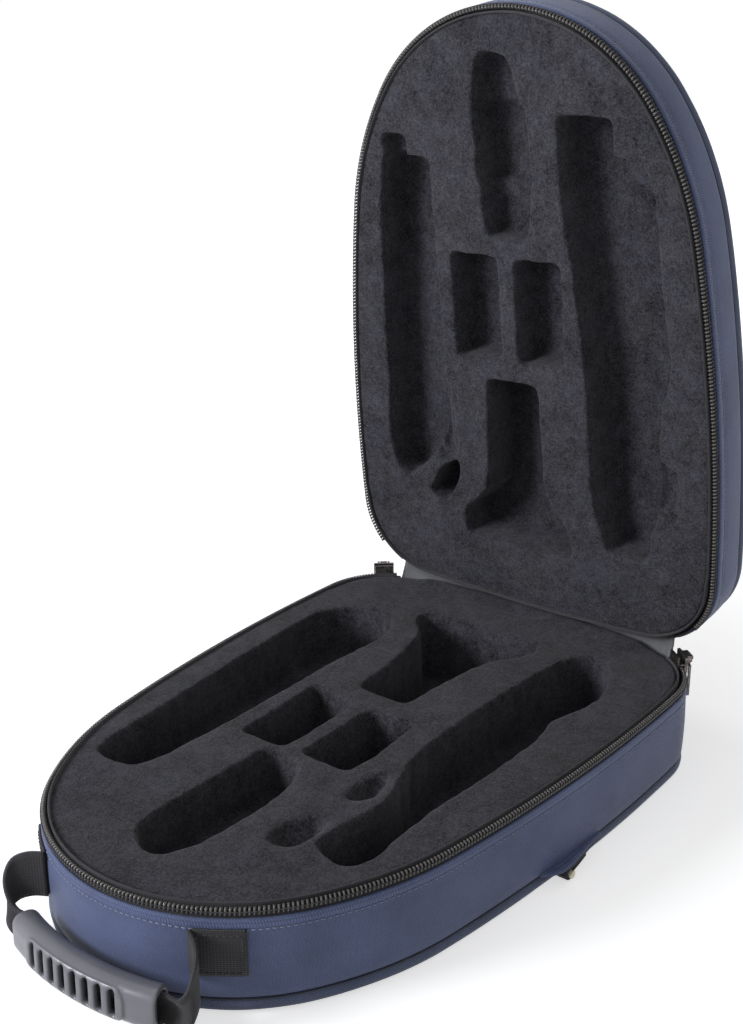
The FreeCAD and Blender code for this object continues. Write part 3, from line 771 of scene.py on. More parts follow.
def ramped(tree, value, low, high):
    """value stretched so that low becomes 0 and high becomes 1."""
    return add(tree, "ShaderNodeMapRange", {
        "Value": value, "From Min": low, "From Max": high,
    }).outputs["Result"]


def bumped(tree, shader, height, strength, finish):
    depth = bump_depths[finish] * MM
    bump = add(tree, "ShaderNodeBump", {"Height": height, "Strength": strength, "Distance": depth})
    tree.links.new(bump.outputs["Normal"], shader.inputs["Normal"])


def woven_cloth(name, weave_name, dark, light, fade_weight):
    """Woven cloth with a diagonal twill line over its yarns, faded in slow patches."""
    made, tree, shader = surface(name, {
        "Specular IOR Level": 0.25, "Roughness": 0.8, "Sheen Weight": 0.12, "Sheen Roughness": 0.4,
    })
    uv = texture_places(tree)
    twill_pitch, yarn_pitch = weave_pitches[weave_name]
    twill = ribs(tree, uv, twill_pitch, "DIAGONAL")
    yarns = maths(tree, "MULTIPLY", ribs(tree, uv, yarn_pitch, "X"), ribs(tree, uv, yarn_pitch, "Y"))
    weave = weighted(tree, (twill, 0.45), (yarns, 0.55))
    places = object_places(tree)
    fluff = grain(tree, places, "cloth fluff", 2.0)
    fade = ramped(tree, grain(tree, places, "cloth fade", 3.0), 0.35, 0.68)
    shade = weighted(tree, (weave, 0.85), (ramped(tree, fluff, 0.3, 0.75), 0.22), (fade, fade_weight))
    shade = maths(tree, "SUBTRACT", shade, fade_weight / 2)
    tree.links.new(blended(tree, shade, dark, light), shader.inputs["Base Color"])
    tree.links.new(ramped(tree, fluff, -0.6, 1.7), shader.inputs["Roughness"])
    bumped(tree, shader, weighted(tree, (weave, 1), (fluff, 0.5)), 0.75, "cloth")
    return made


def plush_pile():
    """Short dark pile: salt and pepper tips, tufts, and patches brushed light or dark."""
    made, tree, shader = surface("plush pile", {
        "Specular IOR Level": 0.08, "Roughness": 0.95, "Sheen Weight": 0.1, "Sheen Roughness": 0.5,
    })
    places = object_places(tree)
    tips = ramped(tree, grain(tree, places, "pile tips", 3.0, 0.75), 0.40, 0.62)
    tufts = ramped(tree, grain(tree, places, "pile tufts", 3.0, 0.65), 0.38, 0.64)
    brushed = ramped(tree, grain(tree, places, "pile brushed", 4.0, 0.65), 0.38, 0.64)
    clouds = ramped(tree, grain(tree, places, "pile clouds", 3.0, 0.6), 0.38, 0.62)
    tint = ramped(tree, grain(tree, places, "pile tint", 2.0, 0.5), 0.35, 0.65)
    shade = weighted(tree, (tips, 0.50), (tufts, 0.22), (brushed, 0.24), (clouds, 0.16))
    light = blended(tree, tint, colour(0.086, 0.081, 0.092), colour(0.079, 0.079, 0.095))
    tree.links.new(blended(tree, shade, colour(0.004, 0.004, 0.006), light), shader.inputs["Base Color"])
    bumped(tree, shader, weighted(tree, (tips, 0.45), (tufts, 0.7), (brushed, 0.8)), 0.6, "pile")
    return made


def webbing_cloth(name, weave_name, dark, light):
    """Ribbed strap webbing: ribs across it, lines of yarn along it."""
    made, tree, shader = surface(name, {
        "Specular IOR Level": 0.3, "Roughness": 0.72, "Sheen Weight": 0.15, "Sheen Roughness": 0.35,
    })
    uv = texture_places(tree)
    rib_pitch, line_pitch = weave_pitches[weave_name]
    across = ribs(tree, uv, rib_pitch, "X")
    along = ribs(tree, uv, line_pitch, "Y")
    weave = weighted(tree, (maths(tree, "MULTIPLY", across, along), 1), (along, 0.4))
    places = object_places(tree)
    fluff = grain(tree, places, "webbing fluff", 2.0)
    dust = ramped(tree, grain(tree, places, "webbing dust", 3.0), 0.4, 0.75)
    shade = weighted(tree, (weave, 0.5), (fluff, 0.35), (dust, 0.15))
    tree.links.new(blended(tree, shade, dark, light), shader.inputs["Base Color"])
    bumped(tree, shader, weighted(tree, (weave, 1), (fluff, 0.4)), 0.6, "webbing")
    return made


def smooth_nylon(name, dark, light):
    """Thin smooth fabric with a close weave and soft creases, whose colour carries painted shade: lighter on
    their ridges, darker in their hollows.
    """
    made, tree, shader = surface(name, {
        "Specular IOR Level": 0.45, "Roughness": 0.48, "Sheen Weight": 0.1,
    })
    uv = texture_places(tree)
    pitch_x, pitch_y = weave_pitches["nylon"]
    weave = maths(tree, "MULTIPLY", ribs(tree, uv, pitch_x, "X"), ribs(tree, uv, pitch_y, "Y"))
    creases_and_painted_shade = grain(tree, object_places(tree), "nylon creases", 3.0, 0.6)
    # The crease noise also sets the colour, lighter on the ridges and darker in the hollows: painted shade
    # of the folds
    shade = weighted(tree, (weave, 0.4), (creases_and_painted_shade, 0.6))
    tree.links.new(blended(tree, shade, dark, light), shader.inputs["Base Color"])
    bumped(tree, shader, weighted(tree, (weave, 0.15), (creases_and_painted_shade, 1)), 0.5, "nylon")
    return made


def moulded_plastic(name, dark, light, roughness):
    """Moulded plastic: fine texture from the mould, faint flow marks and rubbed places."""
    made, tree, shader = surface(name, {"Specular IOR Level": 0.5, "Coat Weight": 0.08})
    places = object_places(tree)
    marks = grain(tree, places, "plastic marks", 3.0)
    rubbed = ramped(tree, grain(tree, places, "plastic rubbed", 4.0, 0.65), 0.45, 0.75)
    gloss = maths(tree, "ADD", maths(tree, "MULTIPLY", rubbed, 0.12), roughness)
    tree.links.new(blended(tree, marks, dark, light), shader.inputs["Base Color"])
    tree.links.new(gloss, shader.inputs["Roughness"])
    bumped(tree, shader, grain(tree, places, "plastic texture", 2.0), 0.25, "plastic")
    return made


def worn_metal(name, dark, light, roughness):
    """Plated metal, dulled in spots and finely scratched."""
    made, tree, shader = surface(name, {"Metallic": 1.0})
    places = object_places(tree)
    spots = ramped(tree, grain(tree, places, "metal spots", 4.0, 0.65), 0.35, 0.7)
    stretched = add(tree, "ShaderNodeMapping", {"Vector": places, "Scale": (1.0, 1.0, 0.12)})
    scratches = grain(tree, stretched.outputs["Vector"], "metal scratches", 2.0)
    gloss = maths(tree, "ADD", maths(tree, "MULTIPLY", scratches, 0.25), roughness)
    tree.links.new(blended(tree, spots, dark, light), shader.inputs["Base Color"])
    tree.links.new(gloss, shader.inputs["Roughness"])
    bumped(tree, shader, scratches, 0.2, "metal")
    return made


def wood_fibre():
    """Pressed fibre board: brown with light and dark shreds."""
    made, tree, shader = surface("fibre board", {"Roughness": 0.85, "Specular IOR Level": 0.2})
    places = object_places(tree)
    shreds = grain(tree, places, "board shreds", 4.0, 0.7)
    shade = weighted(tree, (shreds, 0.7), (grain(tree, places, "board clouds", 3.0), 0.3))
    brown = blended(tree, shade, colour(0.07, 0.045, 0.026), colour(0.24, 0.165, 0.095))
    tree.links.new(brown, shader.inputs["Base Color"])
    bumped(tree, shader, shreds, 0.4, "board")
    return made


def all_materials():
    navy = (colour(0.036, 0.046, 0.090), colour(0.168, 0.212, 0.405))
    piping_navy = (colour(0.040, 0.050, 0.086), colour(0.165, 0.198, 0.325))
    black = colour(0.012, 0.012, 0.014)
    return {
        "navy": woven_cloth("navy twill", "twill", *navy, 0.22),
        "navy_panel": woven_cloth("navy panel twill", "twill", *navy, 0.25),
        "piping": woven_cloth("navy piping cloth", "piping", *piping_navy, 0.2),
        "plush": plush_pile(),
        "tape": webbing_cloth("zip tape", "tape", black, colour(0.05, 0.05, 0.055)),
        "binding": webbing_cloth("binding tape", "binding", black, colour(0.08, 0.079, 0.087)),
        "webbing": webbing_cloth("strap webbing", "webbing", black, colour(0.048, 0.047, 0.051)),
        "gusset": smooth_nylon("gusset nylon", colour(0.06, 0.06, 0.066), colour(0.15, 0.15, 0.162)),
        "coil": moulded_plastic(
            "coil plastic", colour(0.050, 0.046, 0.044), colour(0.120, 0.111, 0.106), 0.24),
        "grip": moulded_plastic(
            "grip plastic", colour(0.122, 0.123, 0.139), colour(0.172, 0.174, 0.195), 0.3),
        "metal": worn_metal(
            "zip metal", colour(0.065, 0.058, 0.056), colour(0.25, 0.225, 0.215), 0.28),
        "bar": worn_metal("bar metal", colour(0.42, 0.40, 0.28), colour(0.68, 0.66, 0.50), 0.3),
        "thread": webbing_cloth(
            "navy thread", "thread", colour(0.16, 0.19, 0.30), colour(0.40, 0.45, 0.60)),
        "black_thread": webbing_cloth(
            "black thread", "thread", colour(0.02, 0.02, 0.023), colour(0.10, 0.10, 0.11)),
        "board": wood_fibre(),
    }


# Shell pieces

def local_rim(run, height):
    """Height of the wall's top, which drops behind the zipper's ends."""
    step = smooth_share(abs(run), corner_run(gusset_start_angle) - rim_step,
                        corner_run(gusset_start_angle) + rim_step)
    return height - rim_drop - back_wall_drop * step


def rim_lean(run):
    """How far binding and plush lean out to the zipper, clear of the slider's path."""
    clear = corner_run(lean_angle)
    return binding_lean * (1 - smooth_share(abs(run), clear - lean_fade, clear))


def cover_section(run, height, seed):
    """Side cover from its tuck behind the piping, up the wall and round the fold at the zipper."""
    rim = local_rim(run, height)
    hem = height - rim_drop - hem_width
    section = [(-cover_tuck, cover_tuck_height),
               (-cover_tuck / 3, (cover_tuck_height + cover_start_height) / 2)]
    for i in range(cover_steps):
        share = i / cover_steps
        z = cover_start_height + share * (hem - cover_start_height)
        slack = cover_slack * wander(run / cover_slack_length, z / cover_slack_length, seed)
        swell = (cover_swell + slack) * math.sin(
            math.pi * (swell_start_share + swell_span_share * share))
        section.append((swell, z))
    pucker = hem_pucker * wander(run / hem_pucker_length, 0, seed + 1)
    edge = rim - fold_drop
    section += [
        (-hem_groove + pucker, hem), (hem_rise + pucker, hem + 2 * fold_radius),
        (hem_rise, (hem + edge) / 2), (hem_rise, edge - fold_radius),
        (hem_rise - fold_radius / 2, edge), (-cover_thickness / 2, edge + fold_radius / 3),
        (-cover_thickness, edge), (-cover_thickness, edge - 3 * fold_radius),
    ]
    return section


def side_cover(shell, materials):
    place, height = SHELLS[shell][:2]
    seed = shell_seed(shell, cover_seed)
    obj = rim_sweep(shell + "_side_cloth", materials["navy"], rim_loop_runs(),
                    lambda run: cover_section(run, height, seed), place, True, False)
    fitted(obj, shell, "outer_fabric", shell + "_side_cover")
    hem = height - rim_drop - hem_width
    end = corner_run(gusset_start_angle)
    stitches = rim_stitches(shell + "_hem_stitches", materials["thread"], place, -end, end, 0.0, hem)
    fitted(stitches, shell, "outer_fabric_seam")


def piping(shell, materials):
    """Cloth tube round the outer edge, with a thin black cord sunk into its seam as painted shade of the
    seam's crease.
    """
    place = SHELLS[shell][0]
    seed = shell_seed(shell, piping_seed)

    def section(run):
        lump = piping_lump * wander(run / piping_lump_length, 0, seed)
        return circle(piping_diameter / 2 + min(lump, 0), piping_sides, -piping_inset, piping_centre_z)

    def seam_shadow_section(run):
        return circle(seam_shadow_cord_diameter / 2, stitch_sides, -seam_shadow_cord_inset, seam_shadow_cord_height)

    runs = rim_loop_runs()
    obj = rim_sweep(shell + "_piping_cloth", materials["piping"], runs, section, place, True, True)
    fitted(obj, shell, "outer_fabric_seam", shell + "_piping")
    # The black seam cord is painted shade of the crease between piping and cover
    cord = rim_sweep(shell + "_seam_shadow_cord", materials["black_thread"], runs, seam_shadow_section, place, True, True)
    fitted(cord, shell, "outer_fabric_seam")


def zip_tape(shell, materials):
    place, height = SHELLS[shell][:2]
    rim = height - rim_drop
    end = corner_run(gusset_start_angle)
    outer = -cover_thickness
    inner = outer - tape_thickness
    low = rim - tape_height
    high = rim + tape_rise
    section = [(outer, low), (outer, high), (inner, high), (inner, low)]
    obj = rim_sweep(shell + "_tape_cloth", materials["tape"], even(-end, end, rim_step),
                    lambda run: section, place, False, True)
    fitted(obj, shell, "black_binding", shell + "_zip_tape")


def zip_coil(shell, materials, end_angle):
    """One continuous flattened helix of monofilament, with widened heads at the top."""
    place, height = SHELLS[shell][:2]
    low = height - coil_top_drop - coil_height
    top = height - coil_top_drop
    end = corner_run(end_angle)
    radius = coil_wire / 2
    head = coil_head_wire / 2
    outer = -radius
    inner = -coil_depth + radius
    # Share along the pitch, offset, height and wire radius of each turn
    turn_places = [
        (0.0, outer, low + radius, radius),
        (0.06, outer, top - 2 * coil_head_wire, radius),
        (0.10, outer - radius / 2, top - coil_head_wire, head),
        (0.16, outer - coil_head_wire, top - head, head),
        (0.26, inner + coil_head_wire, top - head, head),
        (0.32, inner + radius / 2, top - coil_head_wire, head),
        (coil_slant, inner, top - 2 * coil_head_wire, radius),
        (coil_slant + 0.06, inner, low + radius, radius),
        (coil_slant + 0.28, (outer + inner) / 2, low, radius),
    ]
    path = []
    across = []
    radii = []
    count = int(2 * end / coil_pitch)
    for i in range(count):
        for along_share, offset, z, wire in turn_places:
            run = -end + (i + along_share) * coil_pitch
            here = place(rim_point(run, offset, z))
            path.append(here)
            across.append(place(rim_point(run + 1, offset, z)) - here)
            radii.append(wire)
    rows = tube_rows(path, across, radii, coil_sides)
    obj = closed_band(shell + "_coil_teeth", materials["coil"], rows, [i * radius for i in range(len(rows))])
    fitted(obj, shell, "zipper_coil", shell + "_zip_coil")


def zip_cord(shell, materials, end_angle):
    """Sewing cord laid along the coil's outside, which parts its teeth into two rows."""
    place, height = SHELLS[shell][:2]
    end = corner_run(end_angle)
    runs = even(-end, end, rim_step)
    z = height - coil_top_drop - cord_drop
    path = [place(rim_point(run, cord_reach, z)) for run in runs]
    across = [place(rim_point(run, cord_reach + 1, z)) - p for run, p in zip(runs, path)]
    rows = tube_rows(path, across, [cord_diameter / 2] * len(path), stitch_sides)
    fitted(closed_band(shell + "_coil_cord", materials["tape"], rows, runs), shell, "black_binding")


def rim_binding(shell, materials):
    """Thin tape on edge between coil and pile; the base's sinks away behind the gusset."""
    place, height = SHELLS[shell][:2]
    seed = shell_seed(shell, binding_seed)
    full_top = height - binding_gap
    low = full_top - binding_height
    round_off = binding_thickness / 2

    def section(run):
        drop = 0.0
        if shell == "base":
            drop = (full_top - low) * smooth_share(
                abs(run), corner_run(gusset_start_angle) - rim_step, corner_run(gusset_start_angle))
        wave = binding_wave * wander(run / binding_wave_length, 0, seed)
        top = max(full_top - abs(wave) - drop, low + 2 * round_off)
        lean = rim_lean(run)
        outer = -binding_outer - abs(wave) / 2
        inner = outer - binding_thickness
        middle = (outer + inner) / 2 + lean
        return [
            (outer, low), (outer + lean, top - round_off),
            (outer + lean - round_off / 3, top - round_off / 3),
            (middle, top), (inner + lean + round_off / 3, top - round_off / 3),
            (inner + lean, top - round_off), (inner, low),
        ]

    obj = rim_sweep(shell + "_binding_tape", materials["binding"], rim_loop_runs(), section,
                    place, True, True)
    fitted(obj, shell, "black_binding", shell + "_rim_binding")


# Plush insert

def softened(shares):
    """A well's outline in millimetres, its corners rounded and its points evenly spaced."""
    corners = [Vector((x * case_half_width, y * half_length)) for x, y in shares]
    count = len(corners)
    points = []
    for i, corner in enumerate(corners):
        to_last = corners[i - 1] - corner
        to_next = corners[(i + 1) % count] - corner
        reach = corner_reach_share * min(to_last.length, to_next.length)
        if to_last.angle(to_next) < math.radians(sharp_corner_angle):
            reach = min(reach, well_corner)
        start = corner + to_last.normalized() * reach
        end = corner + to_next.normalized() * reach
        for step in range(corner_steps + 1):
            t = step / corner_steps
            points.append(start * (1 - t) ** 2 + corner * (2 * t * (1 - t)) + end * t ** 2)
    line = resampled(np.array([tuple(p) for p in points]), well_step)
    fray = [wander(x / edge_fray_length, y / edge_fray_length, fray_seed) for x, y in line]
    return line + outward(line) * edge_fray * np.array(fray)[:, None]


def resampled(points, step):
    """A closed outline with its points about step apart."""
    closed = np.concatenate([points, points[:1]])
    runs = np.concatenate([[0], np.cumsum(np.hypot(*np.diff(closed, axis=0).T))])
    wanted = np.linspace(0, runs[-1], int(runs[-1] / step), endpoint=False)
    return np.stack([np.interp(wanted, runs, closed[:, 0]), np.interp(wanted, runs, closed[:, 1])], 1)


def whole_ring(ring):
    return ring, np.ones(len(ring), bool)


def distance_outside(points, outline):
    """How far each point lies outside a closed outline, negative inside it."""
    start = outline
    step = np.roll(outline, -1, axis=0) - start
    length = (step ** 2).sum(1) + never_zero
    nearest = np.full(len(points), np.inf)
    inside = np.zeros(len(points), bool)
    for (ax, ay), (sx, sy), size in zip(start, step, length):
        dx = points[:, 0] - ax
        dy = points[:, 1] - ay
        t = np.clip((dx * sx + dy * sy) / size, 0, 1)
        nearest = np.minimum(nearest, (dx - t * sx) ** 2 + (dy - t * sy) ** 2)
        crosses = (ay > points[:, 1]) != (ay + sy > points[:, 1])
        reach = ax + (points[:, 1] - ay) * sx / (sy if sy else never_zero)
        inside ^= crosses & (points[:, 0] < reach)
    return np.where(inside, -1, 1) * np.sqrt(nearest)


def outward(outline):
    """Outward direction at each point of a closed outline."""
    step = np.roll(outline, -1, axis=0) - np.roll(outline, 1, axis=0)
    step /= np.hypot(*step.T)[:, None]
    out = np.stack([step[:, 1], -step[:, 0]], 1)
    probe = distance_outside(outline + out * side_probe, outline)
    return np.where(probe[:, None] > 0, out, -out)


def well_drop(distance, depth):
    """How far the pile drops at a distance outside a well's line."""
    reaches = edge_reaches + [-r for r in foot_reaches]
    drops = edge_drops + [depth - h for h in foot_heights]
    return np.interp(-distance, [-r for r in reaches], drops)


def rim_outline(offset):
    """The rim outline as points, moved outwards by offset."""
    runs = rim_loop_runs()[:-1]
    return np.array([tuple(rim_point(run, offset, 0))[:2] for run in runs])


def insert_outline(inset):
    """The plush insert's edge, or a line inset from it."""
    runs = rim_loop_runs()[:-1]
    edge = lining_inset + inset
    return np.array([
        tuple(rim_point(run, pile_lean_share * rim_lean(run) - edge, 0))[:2] for run in runs])


def net_points(outline, spacing, seed):
    """Places of a slightly disturbed hexagonal net inside an outline."""
    random = np.random.default_rng(seed)
    low = outline.min(0)
    high = outline.max(0)
    rows = []
    for i, y in enumerate(np.arange(low[1], high[1], spacing * math.sqrt(3) / 2)):
        xs = np.arange(low[0] + (i % 2) * spacing / 2, high[0], spacing)
        rows.append(np.stack([xs, np.full(len(xs), y)], 1))
    net = np.concatenate(rows)
    net += random.uniform(-net_unrest_share, net_unrest_share, net.shape) * spacing
    return net[distance_outside(net, outline) < -spacing / 2]


def triangulated(border, rings, loose):
    """Triangles inside a border, over closed rings of points and loose points."""
    points = [Vector(p) for p in border]
    edges = [(i, (i + 1) % len(border)) for i in range(len(border))]
    for ring, kept in rings:
        places = {}
        for i, p in enumerate(ring):
            if kept[i]:
                places[i] = len(points)
                points.append(Vector(p))
        for i in places:
            following = (i + 1) % len(ring)
            if following in places:
                edges.append((places[i], places[following]))
    points += [Vector(p) for p in loose]
    found = delaunay_2d_cdt(points, edges, [], 1, join_reach)
    return np.array([tuple(p) for p in found[0]]), [tuple(f) for f in found[2]]


def filled_piece(name, material, places, faces, heights, skirt_border, skirt_drop, place):
    """A surface over triangulated places, with a skirt that goes down from its border."""
    net = Net()
    net.points = [place(Vector((x, y, z))) for (x, y), z in zip(places, heights)]
    for face in faces:
        net.add_face(face, [tuple(places[i]) for i in face])
    if skirt_drop:
        count = len(skirt_border)
        first = len(net.points)
        for i in range(count):
            x, y = skirt_border[i]
            net.points.append(place(Vector((x, y, heights[i] - skirt_drop))))
        for i in range(count):
            j = (i + 1) % count
            net.add_face((i, j, first + j, first + i),
                         [tuple(places[i]), tuple(places[j]), tuple(places[j]), tuple(places[i])])
    return net.piece(name, material)


def plush_insert(shell, materials):
    """Plush over the moulded foam: one surface that falls softly into every well."""
    place, height, wells = SHELLS[shell]
    top = height - plush_drop
    foam_depth = top - panel_top
    border = insert_outline(0.0)
    outlines = []
    for shares, share in wells:
        softness = dent_softness if share < dent_share else 1.0
        outlines.append((softened(shares), share * foam_depth, softness))
    rings = []
    for inset in border_reaches[1:]:
        rings.append(whole_ring(insert_outline(inset)))
    for outline, depth, softness in outlines:
        out = outward(outline)
        for reach_share in edge_reaches + [-r for r in foot_reaches]:
            reach = reach_share * softness
            ring = outline + out * reach
            kept = np.abs(distance_outside(ring, outline) - reach) < well_step / 5
            kept &= distance_outside(ring, border) < -border_reaches[-1]
            rings.append((ring, kept))
    loose = net_points(border, plush_net, pile_net_seed)
    near = np.full(len(loose), np.inf)
    for outline, depth, softness in outlines:
        distance = distance_outside(loose, outline)
        edge, foot = edge_reaches[0] * softness, foot_reaches[-1] * softness
        clear = np.where(distance > 0, distance - edge, -distance - foot)
        near = np.minimum(near, np.where(distance > -foot, np.maximum(clear, 0), clear))
    within = distance_outside(loose, border) < -border_reaches[-1] - plush_net / 2
    loose = loose[(near > plush_net / 3) & within]
    places, faces = triangulated(border, rings, loose)

    drops = np.zeros(len(places))
    for outline, depth, softness in outlines:
        drops = np.maximum(drops, well_drop(distance_outside(places, outline) / softness, depth))
    inside = -distance_outside(places, border)
    drops += np.interp(inside, border_reaches, border_drops)
    if shell == "base":
        end_x = rim_point(corner_run(swell_angle), -lining_inset, 0).x
        end_y = half_length - lining_inset
        for i, (x, y) in enumerate(places):
            near_hinge = smooth_share(y, end_y - hinge_swell_reach, end_y)
            between_ends = 1 - smooth_share(abs(x), end_x - hinge_swell_reach, end_x)
            lift = hinge_swell + np.interp(inside[i], border_reaches, border_drops)
            drops[i] -= lift * near_hinge * between_ends
    waves = np.array([
        wander(x / plush_wave_length, y / plush_wave_length, pile_seed) for x, y in places])
    heights = top - drops + plush_wave * (waves - 0.5)
    obj = filled_piece(shell + "_plush_insert", materials["plush"], places, faces, heights,
                       border, plush_skirt, place)
    fitted(obj, shell, "plush", shell + "_plush_lining", shell + "_foam_insert")


# Panels inside the piping

def outer_panel(name, shell, materials, crown, node):
    """Cloth panel inside the piping: flat under the base, softly crowned on the lid."""
    place = SHELLS[shell][0]
    border = rim_outline(-floor_panel_inset)
    rings = [whole_ring(rim_outline(-floor_panel_inset - inset)) for inset in panel_ring_insets]
    loose = net_points(rim_outline(-floor_panel_inset - panel_net_inset), panel_net, panel_net_seed)
    places, faces = triangulated(border, rings, loose)
    inside = -distance_outside(places, border)
    rise = 1 - np.exp(-inside / lid_crown_reach)
    waves = np.array([
        wander(x / cover_slack_length, y / cover_slack_length, panel_seed) for x, y in places])
    tuck = np.interp(inside, [0.0] + panel_ring_insets[:2], [panel_tuck, panel_tuck / 3, 0.0])
    heights = tuck - crown * rise - crown * crown_wave_share * waves * rise
    obj = filled_piece(name, materials["navy_panel"], places, faces, heights, border, 0.0, place)
    fitted(obj, shell, "outer_fabric", node)


# Hinge gusset

def gusset_heights():
    """Heights at which the web leaves the base's wall and enters the closed lid's."""
    drop = rim_drop + back_wall_drop
    return base_height - drop + gusset_end_gap, base_height + drop - gusset_end_gap


def gusset_section(run):
    """Centre line of the web at one place: out of the base's wall and up into the lid's."""
    rim, lid_rim = gusset_heights()
    lower = rim_point(run, -gusset_inset, rim)
    upper = opened_point(rim_point(run, -gusset_inset, lid_rim))
    out = rim_frame(run)[1]
    outwards = Vector((out.x, out.y, 0))
    line = [rim_point(run, -gusset_inset, rim - gusset_tuck), lower]
    for share in gusset_shares:
        fold = 1 + gusset_fold_share * wander(run / cover_slack_length, share, gusset_seed)
        line.append(lower.lerp(upper, share) + outwards * (gusset_bulge * fold * math.sin(math.pi * share)))
    line += [upper, opened_point(rim_point(run, -gusset_inset, lid_rim + gusset_tuck))]
    return line, outwards


def hinge_gusset(materials):
    span = HALF_RUN - corner_run(gusset_start_angle)
    rows = []
    turns = even(-span, span, rim_step)
    for turn in turns:
        run = HALF_RUN + turn if turn <= 0 else turn - HALF_RUN
        line, outwards = gusset_section(run)
        half = outwards * (gusset_thickness / 2)
        rows.append([p + half for p in line] + [p - half for p in reversed(line)])
    obj = closed_band("hinge_gusset_web", materials["gusset"], rows, turns)
    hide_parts("hinge_gusset")
    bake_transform(obj)


# Carry handle

def handle_axis():
    reach = nose_radius + webbing_thickness / 2
    nose = ARCS[0][0]
    return Vector((0, nose.y - math.sqrt(reach ** 2 - anchor_inner_x ** 2), anchor_centre_height))


def grip_arc():
    """Centre and radius of the grip's centre line, the angle of each end, and its chord's middle."""
    radius = (grip_half_length ** 2 + grip_bulge ** 2) / (2 * grip_bulge)
    axis = handle_axis()
    chord = Vector((0, axis.y - grip_reach, axis.z))
    centre = Vector((0, chord.y - grip_bulge + radius, chord.z))
    return centre, radius, math.asin(grip_half_length / radius), chord


def hung_point(p, pivot, amount_share):
    """A point of the straight handle, rolled about pivot and let down by a share of the way."""
    roll = Matrix.Rotation(math.radians(-grip_roll * amount_share), 3, "X")
    droop = Matrix.Rotation(math.radians(handle_droop * amount_share), 3, "X")
    axis = handle_axis()
    return axis + droop @ (pivot + roll @ (p - pivot) - axis)


def strap_stations():
    """The strap from the right anchor to mid grip: place, what it rolls about, narrowing, droop."""
    axis = handle_axis()
    centre, radius, end, chord = grip_arc()
    patch_x = anchor_inner_x * (1 + webbing_thickness / nose_radius)
    fold_x = patch_x - webbing_clearance - webbing_thickness / 2
    stations = []
    for across_share, reach_share, narrow_share, droop_share in strap_route_shares:
        x = fold_x + across_share * (grip_half_length + strap_swell - fold_x)
        place = Vector((x, axis.y - webbing_thickness / 2 - reach_share * grip_reach, axis.z))
        stations.append((place, place, narrow_share, droop_share))
    for turn_share in through_grip_shares:
        turn = turn_share * end
        place = centre + Vector((math.sin(turn), -math.cos(turn), 0)) * radius
        stations.append((place, chord, 1.0, 1.0))
    return stations


def between(a, b, c, d, t):
    """Smooth value between b and c, with a before and d after them."""
    return 0.5 * (2 * b + (c - a) * t + (2 * a - 5 * b + 4 * c - d) * t ** 2
                  + (3 * b - a - 3 * c + d) * t ** 3)


def smooth_line(values, steps):
    """Values with steps in between, along a smooth line through them."""
    result = []
    for i in range(len(values) - 1):
        a = values[max(i - 1, 0)]
        d = values[min(i + 2, len(values) - 1)]
        for k in range(steps):
            result.append(between(a, values[i], values[i + 1], d, k / steps))
    return result + [values[-1]]


def band_section(height, curl, thickness):
    """Section of a strap as (out, up) places: flat, or curled into an arc, with rounded edges."""
    angle = max(math.radians(curl), flat_band_angle)
    radius = height / 2 / math.sin(angle)
    outside = []
    inside = []
    for i in range(band_steps + 1):
        turn = angle * (2 * i / band_steps - 1)
        for side, places in ((1, outside), (-1, inside)):
            reach = radius + side * thickness / 2
            places.append((radius * math.cos(angle) - reach * math.cos(turn), reach * math.sin(turn)))
    return outside + inside[::-1]


def handle_strap(materials):
    """The webbing from anchor to anchor, curled where it goes through the grip."""
    stations = strap_stations()
    for place, pivot, narrow, droop in reversed(stations[:-1]):
        stations.append((Vector((-place.x, place.y, place.z)), pivot, narrow, droop))
    places = smooth_line([s[0] for s in stations], strap_steps)
    pivots = smooth_line([s[1] for s in stations], strap_steps)
    narrows = smooth_line([s[2] for s in stations], strap_steps)
    droops = smooth_line([s[3] for s in stations], strap_steps)
    inside_height = bore_height - 2 * webbing_clearance
    rows = []
    us = [0.0]
    for i, here in enumerate(places):
        along = (places[min(i + 1, len(places) - 1)] - places[max(i - 1, 0)]).normalized()
        out = Vector((-along.y, along.x, 0))
        narrow = min(1.0, max(0.0, narrows[i]))
        droop = min(1.0, max(0.0, droops[i]))
        height = webbing_width + narrow * (inside_height - webbing_width)
        row = []
        for away, up in band_section(height, narrow * webbing_curl_angle, webbing_thickness):
            row.append(hung_point(here + out * away + Vector((0, 0, up)), pivots[i], droop))
        rows.append(row)
        if i:
            us.append(us[-1] + (here - places[i - 1]).length)
    obj = closed_band("handle_strap", materials["webbing"], rows, us)
    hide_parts("handle_webbing")
    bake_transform(obj)


def rounded_place(run, thickness, height, corner):
    """Place and outward direction on a rounded rectangle, run along it from its face's middle."""
    flat = height / 2 - corner
    side = thickness / 2 - corner
    rest = abs(run)
    sign = -1 if run < 0 else 1
    quarter = corner * math.pi / 2
    if rest < flat:
        place, out = (thickness / 2, rest), (1.0, 0.0)
    elif rest < flat + quarter:
        turn = (rest - flat) / corner
        out = (math.cos(turn), math.sin(turn))
        place = (side + corner * out[0], flat + corner * out[1])
    elif rest < flat + quarter + 2 * side:
        place, out = (side - (rest - flat - quarter), height / 2), (0.0, 1.0)
    elif rest < flat + 2 * quarter + 2 * side:
        turn = (rest - flat - quarter - 2 * side) / corner
        out = (-math.sin(turn), math.cos(turn))
        place = (-side + corner * out[0], flat + corner * out[1])
    else:
        place, out = (-thickness / 2, flat - (rest - flat - 2 * quarter - 2 * side)), (-1.0, 0.0)
    return place[0], sign * place[1], out[0], sign * out[1]


def girth(thickness, height, corner):
    return 2 * (thickness + height) - (8 - 2 * math.pi) * corner


